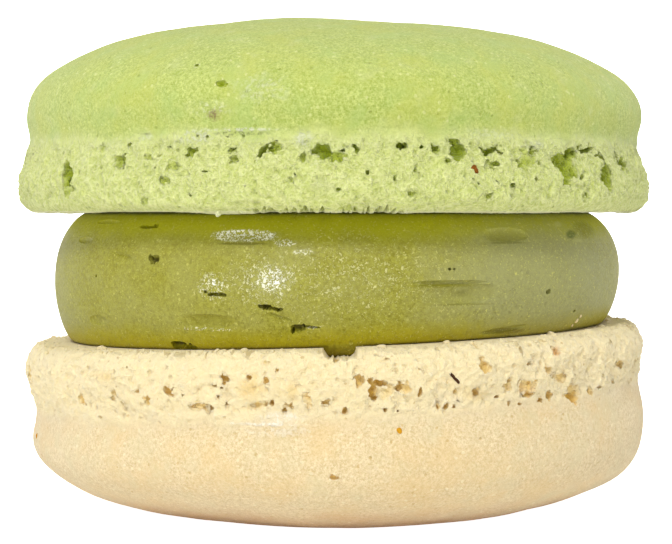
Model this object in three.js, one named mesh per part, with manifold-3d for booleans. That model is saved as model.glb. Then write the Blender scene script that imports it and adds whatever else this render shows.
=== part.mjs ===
// A french macaron: a pistachio green shell, a thick layer of pistachio cream and a pale vanilla shell.
// Each shell is a baked meringue with a smooth domed skin, a rough foot round its rim and a flat inner
// face. The lower shell lies upside down on the middle of its dome.
//
// Millimetres. +Z is up, -Y is the front and +X is to the right of someone who looks at the front.
// The origin is on the axis, on the flat spot that the macaron stands on.
import * as THREE from 'three';
import { ImprovedNoise } from 'three/addons/math/ImprovedNoise.js';
import { mergeVertices } from 'three/addons/utils/BufferGeometryUtils.js';
import Module from 'manifold-3d';

const wasm = await Module();
wasm.setup();

// ---- Driving dimensions ----

const UPPER_FOOT_RADIUS = 22.45; // the widest ring of the ruffled foot
const UPPER_SKIN_RADIUS = 22.1; // the widest ring of the smooth skin
const LOWER_FOOT_RADIUS = 22.1;
const LOWER_SKIN_RADIUS = 21.95;
const CREAM_RADIUS = 20.32;

const LOWER_HEIGHT = 13.1; // the lower shell, from the flat spot to its inner face
const CREAM_THICKNESS = 8.55; // on the axis
const UPPER_HEIGHT = 13.55; // the upper shell, from its inner face to the top
const LOWER_DOME_CUT = 0.1; // how much the flat spot takes off the lower dome

// Heights on the side of a shell, from its inner face
const RIM_HEIGHT = 1.4; // the rounded rim ends here, where the foot is widest
const UPPER_WAIST = 5.1; // the crease between the foot and the skin
const LOWER_WAIST = 4.6;
const SKIN_BULGE = 6.6; // where the skin is widest
const SETTLED = 10; // from here on the dome has a slope of its own

const FLAT_FACE_RADIUS = 19.2; // the inner face is flat out to here, just past the cream
const RIM_DEPTH = 1.15; // the rim starts this much inside the foot
const WAIST_DEPTH = 0.3; // the crease is this much inside the skin
const UPPER_DOME_POWER = 2.22; // 2 is an ellipse, more is fuller at the shoulder
const LOWER_DOME_POWER = 2.5;

const CREAM_TOP_RADIUS = 17.8; // where the cream meets the upper shell
const CREAM_FOOT_RADIUS = 18.9; // where it meets the lower one
const CREAM_BULGE_POWER = 0.66; // how soon the cream swells out from its edges
const CREAM_SAG = 0.92; // less than 1 puts its widest ring below the middle
const BOND_GAP = 0.1; // keeps the solids of touching layers apart

// What is uneven: the lower foot rises to the right, its crease even more so, the upper dome is fuller
// on the left, and the cream and the lower skin sit a little to the right.
const LOWER_FOOT_SLOPE = Math.tan(THREE.MathUtils.degToRad(2));
const LOWER_WAIST_SLOPE = Math.tan(THREE.MathUtils.degToRad(3.1));
const UPPER_DOME_SLOPE = Math.tan(THREE.MathUtils.degToRad(0.4));
const CREAM_OFFSET = 0.2;
const LOWER_SKIN_OFFSET = 0.3;

// Relief, as the depth and the length of its waves
const OUT_OF_ROUND = [[0.12, 17], [0.1, 9]];
const FOOT_CRAGS = [[0.28, 4.6], [0.3, 2.1]];
const CREAM_SWELLS = [[0.12, 12]];
const FRAY_LENGTH = 2.6; // the waves along a frayed rim

// The hollows that have a place of their own lie within this many degrees of the front. The rest of a
// foot has scattered ones.
const FRONT_ANGLE = 72;
const SCATTERED_HOLLOWS = 22;

const SHELL_SEGMENTS = 80;
const CREAM_SEGMENTS = 64;
const WIDE_HOLLOW = 1.1; // wider hollows have more faces

// ---- Helpers ----

const { lerp, smoothstep, degToRad } = THREE.MathUtils;
const noise = new ImprovedNoise();
const ease = (share) => (1 - Math.cos(Math.PI * share)) / 2;

// Evenly spaced steps from one value to another, both included.
const steps = (from, to, count) =>
  Array.from({ length: count + 1 }, (_, i) => lerp(from, to, i / count));

// A repeatable random draw between two values.
function randomDraw(seed) {
  let state = seed;
  return (low, high) => {
    state = (state * 16807) % 2147483647;
    return lerp(low, high, state / 2147483647);
  };
}

// Soft noise of one wavelength over space, about -1 to 1, with its own pattern for each seed.
const lumps = (point, length, seed) =>
  noise.noise(point.x / length + 31.7 * seed, point.y / length, point.z / length);

const relief = (point, waves, seed) =>
  waves.reduce((sum, [depth, length]) => sum + depth * lumps(point, length, seed + depth), 0);

// A closed surface of revolution round Z from [radius, height] pairs that start and end on the axis.
// The angle runs from the front towards the right.
function turned(profile, segments) {
  const points = profile.map(([radius, height]) => new THREE.Vector2(radius, height));
  const geometry = new THREE.LatheGeometry(points, segments).rotateX(Math.PI / 2);
  geometry.deleteAttribute('normal');
  geometry.deleteAttribute('uv');
  return mergeVertices(geometry, 1e-4);
}

// Moves every vertex of a geometry by a function that changes the point it is given.
function shaped(geometry, move) {
  const positions = geometry.getAttribute('position');
  const point = new THREE.Vector3();
  for (let i = 0; i < positions.count; i++) {
    move(point.fromBufferAttribute(positions, i));
    positions.setXYZ(i, point.x, point.y, point.z);
  }
  return geometry;
}

function solidOf(geometry) {
  const triVerts = [];
  const index = geometry.index.array;
  for (let i = 0; i < index.length; i += 3) {
    const [a, b, c] = index.slice(i, i + 3);
    if (a !== b && b !== c && c !== a) triVerts.push(a, b, c); // a turned profile's ends fold to points
  }
  const vertProperties = new Float32Array(geometry.getAttribute('position').array);
  return new wasm.Manifold(
    new wasm.Mesh({ numProp: 3, vertProperties, triVerts: new Uint32Array(triVerts) }),
  );
}

// Cuts hollows out of a body and keeps the largest piece, so that no loose scrap is left.
function hollowedOut(body, hollows) {
  let solid = solidOf(body);
  for (const hollow of hollows) solid = solid.subtract(solidOf(hollow));
  const largest = solid.decompose().reduce((a, b) => (a.volume() > b.volume() ? a : b));
  const cut = largest.getMesh();
  return new THREE.BufferGeometry()
    .setAttribute('position', new THREE.BufferAttribute(cut.vertProperties, 3))
    .setIndex(new THREE.BufferAttribute(cut.triVerts, 1));
}

// An uneven bubble that is sunk in a wall: centred on the wall at an angle and a height, with its own
// width and height along the wall and its depth into it.
function bubble({ angle, radius, z, wide, tall, deep, turn = 0, seed = 0, rough = 0.22 }) {
  const geometry = new THREE.IcosahedronGeometry(1, wide > WIDE_HOLLOW ? 1 : 0);
  geometry.deleteAttribute('normal');
  geometry.deleteAttribute('uv');
  const round = mergeVertices(geometry, 1e-4);
  shaped(round, (point) => point.multiplyScalar(1 + rough * lumps(point, 0.9, seed + 0.37 * angle)));
  return round
    .scale(wide / 2, deep, tall / 2)
    .rotateY(degToRad(turn))
    .translate(0, -radius, z)
    .rotateZ(degToRad(angle));
}

// ---- A shell ----

// A shell is worked out standing on its inner face, and then set in its place.

// The wall's distance from the axis at a height above the inner face.
function wallRadius({ foot, skin, waist, rise, power }, height) {
  const crease = skin - WAIST_DEPTH;
  if (height < RIM_HEIGHT) return foot - RIM_DEPTH * (1 - Math.sqrt(1 - (1 - height / RIM_HEIGHT) ** 2));
  if (height < waist) return lerp(foot, crease, ease((height - RIM_HEIGHT) / (waist - RIM_HEIGHT)));
  if (height < SKIN_BULGE) return lerp(crease, skin, ease((height - waist) / (SKIN_BULGE - waist)));
  return skin * Math.max(0, 1 - ((height - SKIN_BULGE) / rise) ** power) ** (1 / power);
}

// Half the outline, from the middle of the inner face round the foot and over the dome.
function shellProfile(shape) {
  const { waist, rise, power, height } = shape;
  const rim = steps(0, Math.PI / 2, 3)
    .slice(0, -1)
    .map((turn) => RIM_HEIGHT * (1 - Math.cos(turn)));
  const side = [...rim, ...steps(RIM_HEIGHT, waist, 5), (waist + SKIN_BULGE) / 2];
  const end = Math.asin(((height - SKIN_BULGE) / rise) ** (power / 2));
  const dome = steps(0, end, 7).map((turn) => SKIN_BULGE + rise * Math.sin(turn) ** (2 / power));
  const wall = [...side, ...dome].map((level) => [wallRadius(shape, level), level]);
  return [[0, 0], [FLAT_FACE_RADIUS, 0], ...wall, [0, height]];
}

// Makes a shell's outline uneven, its foot craggy and its rim frayed.
function unevenShell(point, { seed, foot, waist, fray }) {
  const radius = Math.hypot(point.x, point.y);
  const share = radius / foot;
  const atEdge = smoothstep(radius, FLAT_FACE_RADIUS + 1, FLAT_FACE_RADIUS + 2);
  const onFoot = atEdge * (1 - smoothstep(point.z, waist - 0.6, waist + 0.7));
  const onRim = atEdge * (1 - smoothstep(point.z, 0.2 * RIM_HEIGHT, RIM_HEIGHT));
  const bulge = share * relief(point, OUT_OF_ROUND, seed) + onFoot * relief(point, FOOT_CRAGS, seed);
  const grow = 1 + bulge / Math.max(radius, 1);
  point.z -= onRim * fray * (0.5 + lumps(point, FRAY_LENGTH, seed));
  point.x *= grow;
  point.y *= grow;
}

// The hollows that are known by their place, and smaller ones scattered round the rest of the foot.
function shellHollows(shape) {
  const { seed, waist, hollows } = shape;
  const draw = randomDraw(seed);
  const others = Array.from({ length: SCATTERED_HOLLOWS }, (_, i) => {
    const byCrease = i % 3 > 0; // two in three
    const height = byCrease ? waist - draw(0.5, 1.7) : draw(0.6, waist - 1);
    const size = draw(0.6, 1.2);
    const share = (i + draw(0.1, 0.9)) / SCATTERED_HOLLOWS;
    const angle = lerp(FRONT_ANGLE, 360 - FRONT_ANGLE, share);
    return { angle, height, wide: size * draw(0.9, 1.4), tall: size * draw(0.7, 1.1) };
  });
  return [...hollows, ...others].map(({ height, wide, tall, ...rest }) => {
    const radius = wallRadius(shape, height);
    return bubble({ radius, z: height, wide, tall, deep: 0.5 * Math.min(wide, tall) + 0.25, seed, ...rest });
  });
}

// How much a shell's level at a height climbs to the right.
function slopeAt({ waist, footSlope, waistSlope, domeSlope }, height) {
  const onFoot = lerp(footSlope, waistSlope, smoothstep(height, 0, waist));
  return lerp(onFoot, domeSlope, smoothstep(height, waist, SETTLED));
}

// `up` is 1 for the upper shell, and -1 for the lower one, which lies upside down.
function shell(shape) {
  const { up, faceZ, skinOffset } = shape;
  const body = turned(shellProfile(shape), SHELL_SEGMENTS);
  shaped(body, (point) => unevenShell(point, shape));
  const solid = hollowedOut(body, shellHollows(shape));
  shaped(solid, (point) => {
    const risen = smoothstep(point.z, 0, SKIN_BULGE + 1);
    point.z = faceZ + up * point.z + slopeAt(shape, point.z) * point.x;
    point.x += skinOffset * risen;
  });
  if (up < 0) solid.index.array.reverse(); // mirrored, so the faces are turned round again
  return solid;
}

// ---- The two shells ----

const upperFaceZ = LOWER_HEIGHT + CREAM_THICKNESS;

const upperShell = shell({
  up: 1,
  faceZ: upperFaceZ,
  foot: UPPER_FOOT_RADIUS,
  skin: UPPER_SKIN_RADIUS,
  waist: UPPER_WAIST,
  height: UPPER_HEIGHT,
  rise: UPPER_HEIGHT - SKIN_BULGE,
  power: UPPER_DOME_POWER,
  footSlope: 0,
  waistSlope: 0,
  domeSlope: -UPPER_DOME_SLOPE,
  skinOffset: 0,
  fray: 0.05,
  seed: 5,
  hollows: [
    { angle: -51.5, height: 2.2, wide: 1.4, tall: 1.35, deep: 0.9 }, // a round hole low in the foot
    { angle: -38.5, height: 3.5, wide: 1.0, tall: 0.8, deep: 0.4 },
    { angle: -36.5, height: 4.4, wide: 0.8, tall: 0.5 },
    { angle: -28.8, height: 2.0, wide: 0.65, tall: 0.55 },
    { angle: -23.8, height: 3.8, wide: 0.75, tall: 0.6 },
    { angle: -16.3, height: 4.0, wide: 0.8, tall: 0.45 },
    { angle: -10.8, height: 4.0, wide: 1.1, tall: 0.6, turn: -35 },
    { angle: -1.3, height: 3.8, wide: 1.2, tall: 1.0 },
    { angle: 11.0, height: 4.1, wide: 0.6, tall: 0.7 },
    { angle: 16.0, height: 3.8, wide: 0.85, tall: 0.6 },
    { angle: 20.6, height: 3.7, wide: 1.4, tall: 1.1 },
    { angle: 27.0, height: 3.7, wide: 1.3, tall: 0.6, turn: -25 },
    { angle: 32.0, height: 3.0, wide: 0.85, tall: 0.7 },
    { angle: 42.5, height: 3.0, wide: 1.8, tall: 2.2, deep: 0.8 }, // a wide cavern under the lip
    { angle: 50.0, height: 3.9, wide: 2.0, tall: 0.7, deep: 0.9 },
    { angle: 54.0, height: 2.4, wide: 1.4, tall: 1.7, deep: 0.7 },
    { angle: 61.0, height: 3.5, wide: 1.2, tall: 0.9 },
    { angle: -18.7, height: 7.9, wide: 0.8, tall: 0.7, deep: 0.5 }, // a burst bubble in the skin
  ],
});

const lowerShell = shell({
  up: -1,
  faceZ: LOWER_HEIGHT,
  foot: LOWER_FOOT_RADIUS,
  skin: LOWER_SKIN_RADIUS,
  waist: LOWER_WAIST,
  height: LOWER_HEIGHT,
  rise: LOWER_HEIGHT + LOWER_DOME_CUT - SKIN_BULGE,
  power: LOWER_DOME_POWER,
  footSlope: LOWER_FOOT_SLOPE,
  waistSlope: LOWER_WAIST_SLOPE,
  domeSlope: 0,
  skinOffset: LOWER_SKIN_OFFSET,
  fray: 0.35,
  seed: 11,
  hollows: [
    { angle: -49.0, height: 2.93, wide: 0.9, tall: 0.8, deep: 0.4 },
    { angle: -33.0, height: 2.8, wide: 0.6, tall: 0.95 },
    { angle: -28.3, height: 2.22, wide: 1.0, tall: 0.55, turn: 40 },
    { angle: -18.3, height: 1.54, wide: 0.6, tall: 0.75 },
    { angle: -11.0, height: 1.66, wide: 0.55, tall: 0.6 },
    { angle: -7.7, height: 3.41, wide: 1.0, tall: 0.55, turn: -30 },
    { angle: 0.9, height: 0, wide: 2.4, tall: 1.15, deep: 2 }, // a notch in the rim
    { angle: 1.4, height: 3.72, wide: 0.5, tall: 0.8 },
    { angle: 3.9, height: 2.02, wide: 0.65, tall: 1.2, deep: 0.5 },
    { angle: 6.8, height: 2.86, wide: 1.3, tall: 1.4, deep: 0.8 }, // the deepest one at the front
    { angle: 13.7, height: 3.03, wide: 0.5, tall: 0.8 },
    { angle: 18.8, height: 3.95, wide: 1.0, tall: 0.5 },
    { angle: 24.5, height: 3.69, wide: 1.0, tall: 0.6 },
    { angle: 25.3, height: 1.58, wide: 0.8, tall: 1.0 },
    { angle: 34.0, height: 3.8, wide: 1.4, tall: 0.7 },
    { angle: 45.3, height: 4.48, wide: 1.3, tall: 0.9 },
    { angle: 59.6, height: 2.92, wide: 0.9, tall: 0.8 },
  ],
});

// ---- The cream ----

// The cream's distance from its own axis at a share of its thickness, from 0 below to 1 above.
function creamRadius(share) {
  const edge = lerp(CREAM_FOOT_RADIUS, CREAM_TOP_RADIUS, share);
  const sagged = share ** CREAM_SAG;
  return lerp(edge, CREAM_RADIUS, (4 * sagged * (1 - sagged)) ** CREAM_BULGE_POWER);
}

// Half the outline with a thickness of 1, which is stretched between the two shells afterwards.
const creamProfile = [
  [0, 0],
  ...steps(0, Math.PI, 10)
    .map((turn) => (1 - Math.cos(turn)) / 2)
    .map((share) => [creamRadius(share), share]),
  [0, 1],
];

function pressCream(point) {
  const under = LOWER_HEIGHT + LOWER_FOOT_SLOPE * (point.x + CREAM_OFFSET) + BOND_GAP;
  const share = Math.hypot(point.x, point.y) / CREAM_RADIUS;
  const grow = 1 + (share * relief(point, CREAM_SWELLS, 2)) / CREAM_RADIUS;
  point.x = point.x * grow + CREAM_OFFSET;
  point.y *= grow;
  point.z = lerp(under, upperFaceZ - BOND_GAP, point.z);
}

// Flattened bubbles that the nozzle smeared along the side, and small holes.
const creamDents = [
  { angle: 19.5, z: 15.7, wide: 7.4, tall: 1.5, deep: 0.26 },
  { angle: 35.5, z: 19.85, wide: 4.2, tall: 1.1, deep: 0.2 },
  { angle: -24.8, z: 14.1, wide: 4.8, tall: 1.0, deep: 0.2 },
  { angle: -16.7, z: 20.1, wide: 4.0, tall: 0.8, deep: 0.18 },
  { angle: -52.7, z: 14.1, wide: 2.4, tall: 0.8, deep: 0.2 },
  { angle: -35.9, z: 18.6, wide: 0.9, tall: 0.6, deep: 0.45 },
  { angle: -6.5, z: 14.4, wide: 1.5, tall: 0.6, deep: 0.45 },
  { angle: -12.3, z: 15.6, wide: 1.4, tall: 0.4, deep: 0.3 },
  { angle: -36.9, z: 20.6, wide: 1.8, tall: 0.35, deep: 0.3 },
  { angle: 108, z: 16.5, wide: 5.2, tall: 1.2, deep: 0.24 },
  { angle: 150, z: 18.8, wide: 3.6, tall: 1.0, deep: 0.2 },
  { angle: 196, z: 15.4, wide: 6.0, tall: 1.3, deep: 0.26 },
  { angle: 236, z: 18.4, wide: 1.2, tall: 0.7, deep: 0.4 },
  { angle: 268, z: 17.0, wide: 4.4, tall: 1.1, deep: 0.22 },
];

function cream() {
  const body = shaped(turned(creamProfile, CREAM_SEGMENTS), pressCream);
  const dents = creamDents.map((dent) => {
    const share = (dent.z - LOWER_HEIGHT) / CREAM_THICKNESS;
    const side = CREAM_OFFSET * Math.sin(degToRad(dent.angle));
    return bubble({ ...dent, radius: creamRadius(share) + side, rough: 0 });
  });
  return hollowedOut(body, dents);
}

// ---- The macaron ----

function layer(name, geometry, color, roughness) {
  geometry.computeVertexNormals();
  const mesh = new THREE.Mesh(geometry, new THREE.MeshStandardMaterial({ color, roughness, metalness: 0 }));
  mesh.name = name;
  return mesh;
}

const macaron = new THREE.Group();
macaron.name = 'macaron';
macaron.add(
  layer('shell_lower', lowerShell, '#f3dfb0', 0.8),
  layer('cream', cream(), '#a19d45', 0.5),
  layer('shell_upper', upperShell, '#cbd87c', 0.75),
);

export default macaron;
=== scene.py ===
# %% [markdown]
# # A french macaron
#
# This lesson dresses a plain model of a macaron as the real thing: a pistachio green shell, a thick
# layer of pistachio cream and a pale vanilla shell. Each shell is a baked meringue. Its dome has a thin
# smooth skin, and round its rim runs the foot, a band of open crumb full of burst bubbles. The plain
# model, the frame, gives every size and place, so it is loaded first.

# %% Load the frame
import math
import random

import bpy
from mathutils import Matrix, Vector
from mathutils.bvhtree import BVHTree


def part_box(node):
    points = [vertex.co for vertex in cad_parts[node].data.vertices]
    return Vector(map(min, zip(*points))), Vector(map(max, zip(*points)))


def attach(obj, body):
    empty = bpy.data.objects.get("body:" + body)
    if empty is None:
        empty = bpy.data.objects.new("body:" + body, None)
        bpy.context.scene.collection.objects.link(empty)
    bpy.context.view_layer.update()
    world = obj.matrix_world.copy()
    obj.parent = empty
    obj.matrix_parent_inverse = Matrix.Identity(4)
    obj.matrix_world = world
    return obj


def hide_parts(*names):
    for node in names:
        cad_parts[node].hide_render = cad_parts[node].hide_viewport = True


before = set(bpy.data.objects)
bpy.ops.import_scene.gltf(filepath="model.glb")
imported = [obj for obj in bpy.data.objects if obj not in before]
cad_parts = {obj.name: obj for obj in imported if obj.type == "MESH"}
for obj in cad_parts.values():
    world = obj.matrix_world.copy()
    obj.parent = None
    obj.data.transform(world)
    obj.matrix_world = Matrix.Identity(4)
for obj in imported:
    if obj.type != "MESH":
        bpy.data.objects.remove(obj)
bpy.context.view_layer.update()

MM = 0.001

# %% [markdown]
# ## The camera
#
# The macaron is seen from straight in front, from close by, with the eye level with the underside of
# the green shell. So the shells are seen neither from above nor from below, and the layers read as
# level bands. The camera comes before the object, so that each step can be looked at as it is made.

# %% Sizes of the three layers
BOND_GAP = 0.1 * MM  # between the cream and each shell
LOWER_FACE = 13.1 * MM  # the inner face of the vanilla shell, on the axis
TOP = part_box("shell_upper")[1].z
UPPER_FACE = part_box("cream")[1].z + BOND_GAP
FLAT_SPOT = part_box("shell_lower")[0].z
print("upper shell from", round(UPPER_FACE / MM, 2), "to", round(TOP / MM, 2), "mm")

# %% Camera
FOCAL_PIXELS = 1981.5  # on a frame 672 pixels wide
FRAME_PIXELS = 672
SENSOR = 36.0
EYE_DISTANCE = 144 * MM
EYE_OFFSET = 0.15 * MM  # a little to the right of the axis
EYE_PITCH = math.radians(1.735)  # looking slightly down

bpy.ops.object.select_all(action="DESELECT")
bpy.ops.object.camera_add(
    location=(EYE_OFFSET, -EYE_DISTANCE, UPPER_FACE),
    rotation=(math.pi / 2 - EYE_PITCH, 0, 0),
)
camera = bpy.context.object
camera.name = "camera"
camera.data.sensor_width = SENSOR
camera.data.lens = FOCAL_PIXELS / FRAME_PIXELS * SENSOR
camera.data.clip_start = 1 * MM
bpy.context.scene.camera = camera
bpy.context.scene.view_settings.view_transform = "Standard"
print("lens", round(camera.data.lens, 1), "mm")

# %% [markdown]
# ## Small helpers
#
# Blender's operators act on whatever is selected, so every step starts by selecting one thing alone.
# The node helper makes one shader node and fills in its sockets, with a plain value or with a link.

# %% Helpers for objects


def only(piece):
    """Selects one object alone, and makes it the active one."""
    bpy.ops.object.select_all(action="DESELECT")
    piece.select_set(True)
    bpy.context.view_layer.objects.active = piece


def apply_modifier(piece, kind, **settings):
    """Adds a modifier to a piece, sets it and applies it."""
    only(piece)
    bpy.ops.object.modifier_add(type=kind)
    modifier = piece.modifiers[-1]
    for name, value in settings.items():
        setattr(modifier, name, value)
    bpy.ops.object.modifier_apply(modifier=modifier.name)


def select_faces(piece, rule):
    """Enters edit mode with only those faces selected whose centre the rule picks."""
    only(piece)
    bpy.ops.object.mode_set(mode="EDIT")
    bpy.ops.mesh.select_mode(type="FACE")
    bpy.ops.mesh.select_all(action="DESELECT")
    bpy.ops.object.mode_set(mode="OBJECT")
    for face in piece.data.polygons:
        face.select = rule(face.center)
    bpy.ops.object.mode_set(mode="EDIT")


def weigh(piece, name, rule):
    """Gives a piece a vertex group, with the weight that the rule gives for each point."""
    if name in piece.vertex_groups:
        piece.vertex_groups.remove(piece.vertex_groups[name])
    group = piece.vertex_groups.new(name=name)
    for vertex in piece.data.vertices:
        weight = rule(vertex.co)
        if weight > 0:
            group.add([vertex.index], weight, "REPLACE")


def smoothstep(value, low, high):
    share = min(max((value - low) / (high - low), 0), 1)
    return share * share * (3 - 2 * share)


def mix(low, high, share):
    return low + (high - low) * share


def triangles(piece):
    return sum(len(face.vertices) - 2 for face in piece.data.polygons)


# %% Helpers for materials


def node(tree, kind, inputs=(), **settings):
    """Makes a shader node. A socket of another node in the inputs becomes a link."""
    made = tree.nodes.new("ShaderNode" + kind)
    for name, value in settings.items():
        setattr(made, name, value)
    for name, value in dict(inputs).items():
        if isinstance(value, bpy.types.NodeSocket):
            tree.links.new(value, made.inputs[name])
        else:
            made.inputs[name].default_value = value
    return made


def rgb(red, green, blue):
    """A colour as a paint chart gives it, from 0 to 255, made linear for the shader."""
    return (*(((share / 255 + 0.055) / 1.055) ** 2.4 for share in (red, green, blue)), 1)


def calc(tree, operation, *values):
    """The result of a Math node."""
    return node(tree, "Math", dict(enumerate(values)), operation=operation).outputs[0]


def vector_calc(tree, operation, *values):
    """The result of a Vector Math node, which is a number for a length or a dot product."""
    result = "Value" if operation in ("LENGTH", "DOT_PRODUCT") else "Vector"
    return node(tree, "VectorMath", dict(enumerate(values)), operation=operation).outputs[result]


# %% Helpers for patterns


def ramp(tree, value, low=0.0, high=1.0, start=0.0, end=1.0, smooth=False):
    """Turns low to high into start to end, and holds the ends. Smooth eases in and out."""
    reach = {0: value, 1: low, 2: high, 3: start, 4: end}
    ease = "SMOOTHSTEP" if smooth else "LINEAR"
    return node(tree, "MapRange", reach, interpolation_type=ease).outputs[0]


def place_on(tree):
    return node(tree, "TexCoord").outputs["Object"]


def noise(tree, place, scale, detail, roughness=0.5, distortion=0.0):
    look = {"Vector": place, "Scale": scale, "Detail": detail, "Roughness": roughness}
    return node(tree, "TexNoise", look | {"Distortion": distortion}).outputs[0]


def scale_of(tree, size):
    """The scale of a noise whose size in metres is a socket."""
    return calc(tree, "DIVIDE", 1.0, size)


def new_group(name, inputs, outputs):
    """Makes a group that puts out masks or heights. Gives its tree and the sockets inside it."""
    tree = bpy.data.node_groups.new(name, "ShaderNodeTree")
    for label, value in inputs.items():
        kind = "NodeSocketVector" if isinstance(value, tuple) else "NodeSocketFloat"
        tree.interface.new_socket(label, in_out="INPUT", socket_type=kind).default_value = value
    for label in outputs:
        tree.interface.new_socket(label, in_out="OUTPUT", socket_type="NodeSocketFloat")
    return tree, tree.nodes.new("NodeGroupInput").outputs, tree.nodes.new("NodeGroupOutput").inputs


def use_group(tree, group, inputs=()):
    """Places a node group in a material, with its own values, and gives its outputs."""
    return node(tree, "Group", inputs, node_tree=group).outputs


# %% [markdown]
# ## The outline of a shell
#
# The shells and the dents are all placed by an angle from the front and a height over a shell's inner
# face, as a baker would point at them. The outline is half of a shell cut through: the rim, the foot,
# the crease under the skin, and the dome, which is a squared-off ellipse.

# %% The outline of a shell
FLAT_FACE_RADIUS = 19.2 * MM
RIM_HEIGHT = 1.4 * MM
RIM_DEPTH = 1.15 * MM
WAIST_DEPTH = 0.3 * MM
SKIN_BULGE = 6.6 * MM
SETTLED = 10 * MM  # from this height on a dome has a slope of its own
RIM_RINGS = 4
FOOT_RINGS = 7
LIP_RINGS = 3
DOME_RINGS = 26

upper = {
    "name": "pistachio_shell",
    "up": 1,
    "face": UPPER_FACE,
    "foot": 22.45 * MM,
    "skin": 22.1 * MM,
    "waist": 5.1 * MM,
    "height": TOP - UPPER_FACE,
    "rise": TOP - UPPER_FACE - SKIN_BULGE,
    "power": 2.22,
    "foot_slope": 0,
    "waist_slope": 0,
    "dome_slope": -math.tan(math.radians(0.4)),
    "skin_offset": 0,
    "seed": 5,
    "nicks": 150,
    "nick": 0.12,
    "nick_depth": 3.6,
    "dried": 0.06 * MM,
}
lower = {
    "name": "vanilla_shell",
    "up": -1,
    "face": LOWER_FACE,
    "foot": 22.1 * MM,
    "skin": 21.95 * MM,
    "waist": 4.6 * MM,
    "height": LOWER_FACE - FLAT_SPOT,
    "rise": LOWER_FACE - FLAT_SPOT + 0.1 * MM - SKIN_BULGE,
    "power": 2.5,
    "foot_slope": math.tan(math.radians(2)),
    "waist_slope": math.tan(math.radians(3.1)),
    "dome_slope": 0,
    "skin_offset": 0.3 * MM,
    "seed": 11,
    "nicks": 300,
    "nick": 0.2,
    "nick_depth": 2.2,
    "dried": 1.3 * MM,
}


def swing(low, high, share):
    """Goes from low to high along half a wave."""
    return mix(low, high, (1 - math.cos(math.pi * share)) / 2)


def wall_radius(shell, height):
    """The wall's distance from the axis at a height above the inner face."""
    foot, skin, waist = shell["foot"], shell["skin"], shell["waist"]
    crease = skin - WAIST_DEPTH
    if height < RIM_HEIGHT:
        return foot - RIM_DEPTH * (1 - math.sqrt(1 - (1 - height / RIM_HEIGHT) ** 2))
    if height < waist:
        return swing(foot, crease, (height - RIM_HEIGHT) / (waist - RIM_HEIGHT))
    if height < SKIN_BULGE:
        return swing(crease, skin, (height - waist) / (SKIN_BULGE - waist))
    share = min((height - SKIN_BULGE) / shell["rise"], 1)
    return skin * (1 - share ** shell["power"]) ** (1 / shell["power"])


def slope_at(shell, height):
    """How much a shell's level at a height climbs to the right."""
    on_foot = mix(shell["foot_slope"], shell["waist_slope"], smoothstep(height, 0, shell["waist"]))
    return mix(on_foot, shell["dome_slope"], smoothstep(height, shell["waist"], SETTLED))


def placed(shell, radius, angle, height):
    """A point of a shell, from its height above the inner face and its angle from the front."""
    x = radius * math.sin(angle)
    z = shell["face"] + shell["up"] * height + slope_at(shell, height) * x
    risen = smoothstep(height, 0, SKIN_BULGE + MM)
    return Vector((x + shell["skin_offset"] * risen, -radius * math.cos(angle), z))


def on_wall(shell, angle, height):
    """A point on the outside of a shell, from degrees and millimetres."""
    return placed(shell, wall_radius(shell, height * MM), math.radians(angle), height * MM)


def shell_rings(shell):
    """(radius, height) of each ring, from the edge of the flat face to the top."""
    power = shell["power"]
    rim = [RIM_HEIGHT * (1 - math.cos(math.pi / 2 * step / RIM_RINGS)) for step in range(RIM_RINGS)]
    foot = [mix(RIM_HEIGHT, shell["waist"], step / FOOT_RINGS) for step in range(FOOT_RINGS)]
    lip = [mix(shell["waist"], SKIN_BULGE, step / LIP_RINGS) for step in range(LIP_RINGS)]
    end = math.asin(((shell["height"] - SKIN_BULGE) / shell["rise"]) ** (power / 2))
    turns = [end * step / DOME_RINGS for step in range(DOME_RINGS + 1)]
    dome = [SKIN_BULGE + shell["rise"] * math.sin(turn) ** (2 / power) for turn in turns]
    face = [(FLAT_FACE_RADIUS, 0), (FLAT_FACE_RADIUS + 0.7 * MM, 0), (FLAT_FACE_RADIUS + 1.4 * MM, 0)]
    return face + [(wall_radius(shell, height), height) for height in rim + foot + lip + dome]


# %% [markdown]
# ## Effects that the finishes share
#
# Some effects come back in several materials, so each is a node group that is made once.
#
# - Grain is the fine speckle of ground almond: two sizes of noise, one for the colour and one for a
#   bump that catches the light.
# - Blotches are soft patches, some millimetres wide, where the batter took more or less colour.
# - Specks are single coarse grains and pores, one here and there, with a bowl shape for the bump.
# - Facets are the flat faces of sugar grains, each of which mirrors the lamp for another eye.
# - Glints are ragged curved strokes, where fat and sugar crystals shine, painted on as highlight.
# - A band is a level stripe with a wandering edge, such as the pale edge of the skin.
# - A spot is a patch with a ragged edge round one place, such as a dusting, a stain, a painted highlight
#   and a painted shade.
#
# They could be painted on an image, but noise has no seams and works from all sides. The patterns read
# Object coordinates, so they stay put on the macaron.

# %% Group: grain


def make_grain():
    tree, given, out = new_group("grain", {"Size": 0.35 * MM}, ["Speckle", "Height"])
    place = place_on(tree)
    scale = scale_of(tree, given["Size"])
    coarse = noise(tree, place, scale, 3.0, 0.6)
    fine = noise(tree, place, calc(tree, "MULTIPLY", scale, 2.3), 2.0, 0.7)
    half = calc(tree, "MULTIPLY", calc(tree, "ADD", coarse, fine), 0.5)
    tree.links.new(ramp(tree, half, 0.38, 0.62), out["Speckle"])
    tree.links.new(half, out["Height"])
    return tree


grain = make_grain()

# %% Group: blotches


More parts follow.
